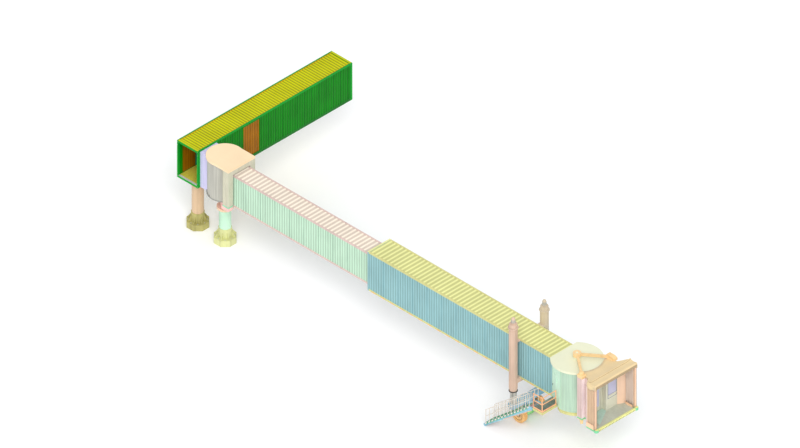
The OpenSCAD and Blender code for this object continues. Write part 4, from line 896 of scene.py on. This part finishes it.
dress(painted("stair_blue", (0.28, 0.54, 0.64), tone=0.08), "stair_stringers")
dress(painted("tread_pink", (0.66, 0.44, 0.42), tone=0.08, roughness=0.6), "stair_treads")
dress(painted("stair_beige", (0.74, 0.67, 0.58), tone=0.06), "stair_rails")
nosing_green = painted("nosing_green", (0.10, 0.38, 0.20), tone=0.1, roughness=0.6)
TREAD_RUN = 0.25
NOSING_W = 0.035
NOSING_H = 0.036
STRIP_T = 0.004
STRIP_W = 0.018
STRIPS_X = (0.075, 0.125, 0.175)
tread_low, tread_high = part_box("stair_treads")
tread_tops = sorted({round(v.co.z, 3) for v in nodes["stair_treads"].data.vertices})[1::2]
count = len(tread_tops)
nosings, strips = [], []
for i, top in enumerate(tread_tops):
    front = tread_low[0] + (tread_high[0] - TREAD_RUN - tread_low[0])*i/(count - 1)
    nosings.append(box_mesh((front - STRIP_T, tread_low[1] + 0.01, top - NOSING_H),
                            (front + NOSING_W, tread_high[1] - 0.01, top + STRIP_T)))
    strips += [box_mesh((front + x, tread_low[1] + 0.05, top),
                        (front + x + STRIP_W, tread_high[1] - 0.05, top + STRIP_T)) for x in STRIPS_X]
piece("stair_nosings", nosings, nosing_green, "stair")
ENDS_X = 30.72
ENDS_RUN = 4.1
END_DROP = 0.115
END_H = 0.085
ends = [face_plate(below_edge(x - 0.20, END_DROP), below_edge(x - 0.05, END_DROP), END_H, 0.009)
        for x in [ENDS_X - ENDS_RUN*(i + 0.5)/count for i in range(count)]]
piece("stair_tread_ends", ends, painted("tread_cream", (0.90, 0.72, 0.64), tone=0.06), "stair")
LINES = ((26.60, 0.125, 0.105, 0.005), (26.62, 0.175, 0.025, 0.006))
lines = [face_plate(below_edge(x, drop), below_edge(30.50, drop), height, out)
         for x, drop, height, out in LINES]
piece("stair_stringer_lines", lines, nosing_green, "stair")
foot_strip = face_plate((28.2, 1.38), (30.80, 3.378), 0.04, 0.007)
piece("stair_lower_strip", [foot_strip], rail_orange, "stair")
piece("stair_grip_strips", strips, brush_black, "stair")


# Cab floor and bulkhead
# Rubber on a steel floor plate with green edges, a dark green mat by the door, and a beige
# wall whose booth front has a wide lavender window over a ribbed panel.
def slab_mesh(one, other):
    """A closed slab between two outlines of as many points."""
    n = len(one)
    sides = [(i, (i + 1) % n, (i + 1) % n + n, i + n) for i in range(n)]
    return one + other, [tuple(range(n))[::-1], tuple(range(n, 2*n)), *sides]


CAB_FLOOR = 3.72
dress(two_tone("cab_floor_finish", (0.22, 0.62, 0.32), (0.51, 0.54, 0.45), 2, CAB_FLOOR - 0.004, 0.002),
      "cab_floor")
booth_beige = painted("booth_beige", (0.70, 0.69, 0.56), tone=0.05, streak=0.06)
dress(booth_beige, "cab_bulkhead", "cab_door")
glass = clouded("lavender_glass", [
    (1.5, 3, 0.3, 0.7, (0.60, 0.60, 0.80), (0.70, 0.70, 0.88))], {"Roughness": 0.08, "Alpha": 0.82})
dress(glass, "cab_glass")
BOOTH = (34.47, 34.53)
FRAME_W = 0.04
FRAME_T = 0.018
(_, y0, z0), (_, y1, z1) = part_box("cab_glass")
window_frame = [box_mesh((x, *one), (x + FRAME_T, *other)) for x in (BOOTH[1], BOOTH[0] - FRAME_T)
                for one, other in surround((y0, z0), (y1, z1), FRAME_W)]
piece("cab_window_frame", window_frame, painted("frame_grey", (0.30, 0.32, 0.34)), "cab")
SILL_H = 0.20
SILL_T = 0.03
sill = [box_mesh((BOOTH[1] - 0.004, y0, z0), (BOOTH[1] + 0.014, y1, z0 + SILL_H - SILL_T)),
        box_mesh((BOOTH[1] - 0.004, y0, z0 + SILL_H - SILL_T), (BOOTH[1] + 0.05, y1, z0 + SILL_H))]
piece("cab_window_sill", sill, booth_beige, "cab")
PANEL_RIB_H = 0.04
PANEL_RIB_T = 0.012
panel_ribs = [box_mesh((BOOTH[1], y0 - 0.06, z), (BOOTH[1] + PANEL_RIB_T, y1 + 0.03, z + PANEL_RIB_H))
              for z in [CAB_FLOOR + 0.06 + 0.11*i for i in range(7)]]
piece("cab_panel_ribs", panel_ribs, booth_beige, "cab")
DOOR_LIGHT = ((-0.678, 4.032), (-0.062, 5.768))
PANE_T = 0.01
door_glass = [box_mesh((x, *DOOR_LIGHT[0]), (x + PANE_T, *DOOR_LIGHT[1])) for x in (34.155, 34.136)]
piece("cab_door_light", door_glass, glass, "cab_door")
MAT_PLAN = [(34.20, -1.19), (35.38, -1.19), (34.56, 0.20), (34.20, 0.20)]
mat = slab_mesh(*[[(x, y, CAB_FLOOR + h) for x, y in MAT_PLAN] for h in (0.0005, 0.008)])
piece("cab_mat", [mat], rubber("mat_green", (0.46, 0.64, 0.55), pitch=0.02, axis=1), "cab")
SEAM_W = 0.008
SEAM_T = 0.004
MAT_CORNER = 35.40
MAT_SLOPE = 1.70
seams = [box_mesh((x, -1.20 + max(0, MAT_CORNER - x)*MAT_SLOPE, CAB_FLOOR),
                  (x + SEAM_W, 1.20 if x < 34.9 else 1.66, CAB_FLOOR + SEAM_T))
         for x in [34.62 + 0.12*i for i in range(9)]]
piece("cab_floor_seams", seams, galvanised, "cab")


# Cab arms, posts and walls
# Tan box arms turn on the drum's centre line and carry the cab by two square pink posts.
# Flat orange panels close the sides between the posts and the canopy's pleats.
panel_orange = (0.93, 0.66, 0.48)
post_pink = (0.68, 0.52, 0.48)
# A paler pink painted on the forward faces as a highlight, as if lit.
post_highlight_pale = (0.98, 0.86, 0.86)


def cab_paint_and_highlight(name):
    """Pink on the outer faces, with a painted highlight that makes the faces looking forward paler, and
    orange inside the cab.
    """
    material = painted(name, post_pink)
    tree = material.node_tree
    facing = axes(tree, object_place(tree, "Normal"))
    outward = calculate(tree, "MULTIPLY", axes(tree, object_place(tree))["Y"], facing["Y"])
    # Painted highlight: the faces that look forward are tinted paler.
    forward_highlight = ramp(tree, facing["X"], 0.45, 0.75, WHITE, ratio(post_highlight_pale, post_pink))
    inside = (*ratio(panel_orange, post_pink), 1)
    return tint(material, mix(tree, spread(tree, outward, -0.4, -0.2), inside, forward_highlight))


def rounded(made, width, segments):
    rounding = made.modifiers.new("rounding", "BEVEL")
    rounding.width = width
    rounding.segments = segments


arm_tan = painted("arm_tan", (0.86, 0.60, 0.30), tone=0.08)
dress(arm_tan, "cab_arms")
dress(cab_paint_and_highlight("cab_wall_paint_and_highlight"), "cab_walls")
POST_X = (33.64, 34.08)
POST_Y = (1.15, 1.54)
POST_SEAMS = (33.80, 33.93)
POST_SEAM_W = 0.012
POST_SEAM_T = 0.006
POST_SEAM_TOP = 6.92
post_seams = [box_mesh((x, side*POST_Y[1], CAB_FLOOR + 0.02),
                       (x + POST_SEAM_W, side*(POST_Y[1] + POST_SEAM_T), POST_SEAM_TOP))
              for side in (-1, 1) for x in POST_SEAMS]
piece("cab_post_seams", post_seams, painted("seam_brown", (0.50, 0.34, 0.32)), "cab")
DOME_AT = (33.86, -1.345, 7.18)
DOME_R = 0.172
DOME_H = 0.075
dome = lathe_mesh([(DOME_R*math.cos(math.radians(t)), DOME_H*math.sin(math.radians(t)))
                   for t in range(0, 90, 12)], DOME_AT, UP, 48)
piece("arm_near_dome", [dome], arm_tan, "cab", 30)
PLATE = [(33.58, 7.04), (33.58, 7.225), (34.02, 7.225), (34.26, 7.15), (34.285, 6.98), (34.12, 6.98)]
PLATE_Y = (1.52, 1.18)
plate = slab_mesh(*[[(x, y, z) for x, z in PLATE] for y in PLATE_Y])
piece("arm_far_plate", [plate], arm_tan, "cab")
HOOD_X = (POST_X[0] - 0.03, POST_X[1] + 0.04)
HOOD_Y = (POST_Y[0] - 0.03, POST_Y[1] + 0.03)
HOOD_Z = (6.80, 7.05)
HOOD_ROUND = 0.07
for side, label in SIDES:
    hood = box_mesh((HOOD_X[0], side*HOOD_Y[0], HOOD_Z[0]), (HOOD_X[1], side*HOOD_Y[1], HOOD_Z[1]))
    rounded(piece(f"arm_{label}_hood", [hood], arm_tan, "cab", 40), HOOD_ROUND, 4)
    hood_bolts = [nut((x, side*(HOOD_Y[1] - 0.001), z), (0, side, 0), 0.016)
                  for x in (33.71, 33.87, 34.03) for z in (6.86, 6.96)]
    in_steel(f"arm_{label}_hood_bolts", hood_bolts, "cab")
HUB_TOP = 7.22
in_steel("cab_hub_bolts", nut_circle((DRUM_X, 0, HUB_TOP), UP, 0.2, 8, 0.02), "cab")


# Canopy
# Coated fabric over two bows: the top is one saddle-shaped sheet from the drum's disc to the
# front bow, with a sewn seam along its ridge, a rolled valance and a boot at each side.
def fabric(name, colour):
    """Coated cloth: fine crossed weave, soft folds of tone and a little sheen."""
    material = clouded(name, [
        (1.3, 3, 0.3, 0.7, shade(colour, 0.95), shade(colour, 1.03)),
        (25, 5, 0.35, 0.5, (0.96, 0.96, 0.95), WHITE)], {"Roughness": 0.85, "Sheen Weight": 0.2})
    tree = material.node_tree
    bumpy(material, calculate(tree, "MAXIMUM", waves(tree, 1, 60), waves(tree, 2, 60)), 0.25, 0.002)
    return material


def cloth(made, thickness, lining=0):
    """Gives a sheet its thickness, with its inner face and hems in the lining's slot."""
    thick = made.modifiers.new("cloth", "SOLIDIFY")
    thick.thickness = thickness
    thick.offset = -1
    thick.material_offset = lining
    thick.material_offset_rim = lining


def strip_faces(rows, columns, flip, closed=False):
    """Faces between rows of points, each row a line or a closed ring."""
    faces = []
    for r in range(rows - 1):
        for i in range(columns if closed else columns - 1):
            j = (i + 1) % columns
            face = (r*columns + i, r*columns + j, (r + 1)*columns + j, (r + 1)*columns + i)
            faces.append(face[::-1] if flip else face)
    return faces


canopy_tan = fabric("canopy_tan", (0.74, 0.57, 0.31))
CANOPY_Y = 1.90
CANOPY_FOOT = 6.83
FRONT_FOOT = 7.00
REAR_FOOT = 6.85
RIDGE_X = 35.00
SAG = 0.10
SAG_START = 33.5
HORN = 0.10
HORN_X = 35.09
REAR_Z = 6.93
REAR_RISE = 0.15
DISC_R = 1.78
WALL_START = 1.32
REAR_ROWS = (0.0, 0.2, 0.4, 0.6, 0.8, 0.92, 1.0)
FRONT_ROWS = [(35.02, 7.205), (35.045, 7.222), (35.07, 7.205), (35.09, 7.165), (35.16, 7.165), (35.35, 7.19),
              (35.50, 7.22), (35.58, 7.245), (35.64, 7.25), (35.68, 7.225), (35.70, 7.16)]
COLUMNS = 49


def canopy_rear(y):
    """Rear edge in plan: round the drum's disc, past the posts, then over the side walls."""
    a = abs(y)
    if a < POST_Y[0] - 0.02:
        return DRUM_X + math.sqrt(DISC_R**2 - a*a)
    if a < WALL_START:
        return POST_X[1] + 0.025
    return 34.46 + (a - WALL_START)*0.724


def canopy_point(x, y, z):
    """The sheet sags between its sides behind the ridge, and its ridge curls up at both ends."""
    v = abs(y)/CANOPY_Y
    sag = SAG*(1 - v*v)*math.sin(math.pi*min(1.0, max(0.0, (x - SAG_START)/1.5)))
    horn = HORN*max(0.0, (v - 0.80)/0.20)**2*math.exp(-((x - HORN_X)/0.11)**2)
    return (x, y, z - sag + horn)


across = [CANOPY_Y*(2*j/(COLUMNS - 1) - 1) for j in range(COLUMNS)]
verts = []
for u in REAR_ROWS:
    for y in across:
        x = canopy_rear(y) + (RIDGE_X - canopy_rear(y))*u
        verts.append(canopy_point(x, y, REAR_Z + REAR_RISE*(x - SAG_START)))
for x, z in FRONT_ROWS:
    verts += [canopy_point(x, y, z) for y in across]
rows = len(REAR_ROWS) + len(FRONT_ROWS)
faces = [(k, k + COLUMNS, k + COLUMNS + 1, k + 1)
         for i in range(rows - 1) for k in range(i*COLUMNS, (i + 1)*COLUMNS - 1)]
near_rim = list(range(0, rows*COLUMNS, COLUMNS))
far_rim = list(range(COLUMNS - 1, rows*COLUMNS, COLUMNS))
front_row = list(range((rows - 1)*COLUMNS, rows*COLUMNS))
past_post = sum(1 for y in across if y < -POST_Y[0])
rear_near = list(range(past_post))
rear_far = list(range(COLUMNS - past_post, COLUMNS))
for edge, drop in ((near_rim, CANOPY_FOOT), (far_rim[::-1], CANOPY_FOOT), (front_row, FRONT_FOOT),
                   (rear_near[::-1], REAR_FOOT), (rear_far[::-1], REAR_FOOT)):
    hem = len(verts)
    verts += [(verts[k][0], verts[k][1], drop) for k in edge]
    faces += [(edge[i + 1], edge[i], hem + i, hem + i + 1) for i in range(len(edge) - 1)]
canopy = piece("canopy_sheet", [(verts, faces)], canopy_tan, "cab", 70)
cloth(canopy, 0.014)
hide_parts("canopy_top")
seam_brown = painted("seam_brown", (0.34, 0.25, 0.16), tone=0.1, roughness=0.8)
seam = [canopy_point(35.092, y, 7.170) for y in across]
piece("canopy_ridge_seam", [rod_mesh(a, b, 0.011, 8) for a, b in zip(seam, seam[1:])],
      seam_brown, "cab", 60)
ROLL_R = 0.024
ROLL_RIB = 0.006
ROLL_RIBS = 60
ROLL_L = 3.72
ROLLS_Z = (7.115, 7.055, 6.995)
roll = [(ROLL_R + ROLL_RIB*(k % 2), ROLL_L*k/(2*ROLL_RIBS)) for k in range(2*ROLL_RIBS + 1)]
rolls = [lathe_mesh(roll, (35.722, -ROLL_L/2, z), (0, 1, 0), 12) for z in ROLLS_Z]
piece("canopy_valance", rolls, painted("valance_brown", (0.46, 0.35, 0.22), tone=0.12, roughness=0.8),
      "cab", 60)
BOOT_ROWS = 7
BOOT_SIDES = 32
BOOT_SIZE = (0.28, 0.05, 0.19)
for side, label in SIDES:
    boot = [(35.16 + BOOT_SIZE[0]*math.cos(t)*math.cos(a), side*(1.885 + BOOT_SIZE[1]*math.sin(t)),
             REAR_Z + BOOT_SIZE[2]*math.cos(t)*math.sin(a))
            for t in [math.radians(15*k) for k in range(BOOT_ROWS)] for a in round_angles(BOOT_SIDES)]
    boot_faces = strip_faces(BOOT_ROWS, BOOT_SIDES, side > 0, closed=True)
    piece(f"canopy_{label}_boot", [(boot, boot_faces)], canopy_tan, "cab", 60)


# Pleated sides
# Coated fabric in five deep pleats, lined inside, built in one fixed shape.
# It hangs behind channel posts with rubber seals, and kick plates guard its foot.
bellows_orange = fabric("bellows_orange", (0.66, 0.48, 0.32))
bellows_lining = fabric("bellows_lining", (0.74, 0.61, 0.51))
bow_orange = painted("bow_orange", (0.88, 0.56, 0.38), tone=0.06)
kick_orange = painted("kick_orange", (0.95, 0.62, 0.40), tone=0.06)
PLEATS = 5
PLEAT_POINTS = 12
PLEAT_DEPTH = 0.20
PLEAT_Y = 1.685
PLEAT_ROWS = 9
BELLOWS_X = (34.85, 35.56)
BELLOWS_Z = (3.725, 6.825)
SLACK = 0.012
BOW_X = (35.565, 35.61)
BOW_Y = (1.71, 1.905)
BOW_Z = (3.725, 6.99)
BOW_T = 0.008
FLANGE_X = 35.603
STIFFENERS_Z = (3.727, 4.50, 5.30, 6.10, 6.98)
SEAL_HALF = 0.014
KICK_X = 34.86
KICK_Z = 3.725
outline = [(BELLOWS_X[0] + (BELLOWS_X[1] - BELLOWS_X[0])*k/(PLEATS*PLEAT_POINTS),
            PLEAT_Y + PLEAT_DEPTH*abs(math.sin(math.pi*k/PLEAT_POINTS))**0.7)
           for k in range(PLEATS*PLEAT_POINTS + 1)]
for side, label in SIDES:
    verts = []
    for h in [r/(PLEAT_ROWS - 1) for r in range(PLEAT_ROWS)]:
        z = BELLOWS_Z[0] + (BELLOWS_Z[1] - BELLOWS_Z[0])*h
        slack = SLACK*math.sin(math.pi*h)
        verts += [(x, side*(y + slack*math.sin(9*h + x*7)), z) for x, y in outline]
    faces = strip_faces(PLEAT_ROWS, len(outline), side > 0)
    pleats = piece(f"canopy_{label}_pleats", [(verts, faces)], bellows_orange, "cab", 80)
    pleats.data.materials.append(bellows_lining)
    cloth(pleats, 0.008, lining=1)
    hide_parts("canopy_sides")
    channel = [(BOW_X[1] - BOW_T, BOW_X[1], *BOW_Y), (BOW_X[0], FLANGE_X, BOW_Y[0], BOW_Y[0] + BOW_T),
               (BOW_X[0], FLANGE_X, BOW_Y[1] - BOW_T, BOW_Y[1])]
    bow_parts = [box_mesh((x0, side*y0, BOW_Z[0]), (x1, side*y1, BOW_Z[1])) for x0, x1, y0, y1 in channel]
    bow_parts += [box_mesh((BOW_X[0] + 0.002, side*(BOW_Y[0] + 0.006), z),
                           (BOW_X[1] - 0.006, side*(BOW_Y[1] - 0.006), z + BOW_T)) for z in STIFFENERS_Z]
    bow = piece(f"bellows_{label}_post", bow_parts, bow_orange, "cab")
    rounded(bow, 0.002, 2)
    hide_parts("canopy_sides")
    seals = [box_mesh((35.604, side*y - SEAL_HALF, 3.73), (35.616, side*y + SEAL_HALF, 6.98))
             for y in (BOW_Y[0] + BOW_T, BOW_Y[1] - BOW_T)]
    piece(f"bellows_{label}_seals", seals, seam_brown, "cab")
    kick = [box_mesh((KICK_X, side*y0, z0), (x1, side*y1, z1)) for x1, y0, y1, z0, z1 in [
        (35.49, 1.885, 1.905, KICK_Z, 4.04), (35.50, 1.645, 1.665, KICK_Z, 3.90),
        (35.49, 1.885, 1.912, 4.02, 4.06)]]
    piece(f"bellows_{label}_kick_plates", kick, kick_orange, "cab")


# Bumper
# Yellow rubber along the front sill with green pads at the corners, bolted to the cab floor.
# Both have ribs, and upright bars of olive rubber stand along the front.
dress(rubber("bumper_yellow", (0.83, 0.84, 0.32), pitch=0.05, axis=2), "cab_bumper")
BAR_COUNT = 28
BAR_HALF = 0.03
BAR_X = (35.755, 35.768)
BAR_Z = (0.008, 0.098)
BARS_Y = 1.74
PAD_AT = (35.67, 1.81)
PAD_R = (0.1395, 0.152)
PAD_OVER = 0.004
bumper_low, bumper_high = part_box("cab_bumper")
foot = bumper_low[2]
pads = [band((PAD_AT[0], side*PAD_AT[1], foot - PAD_OVER), UP, *PAD_R,
             bumper_high[2] - foot + 2*PAD_OVER) for side in (-1, 1)]
bumper_ribs = [box_mesh((BAR_X[0], y - BAR_HALF, foot + BAR_Z[0]), (BAR_X[1], y + BAR_HALF, foot + BAR_Z[1]))
               for y in [BARS_Y*(2*i/(BAR_COUNT - 1) - 1) for i in range(BAR_COUNT)]]
piece("bumper_ribs", bumper_ribs, rubber("bumper_olive", (0.34, 0.32, 0.15), axis=2), "cab")
pad_green = rubber("pad_green", (0.20, 0.66, 0.34), axis=2)
piece("bumper_corner_pads", pads, pad_green, "cab", 40)
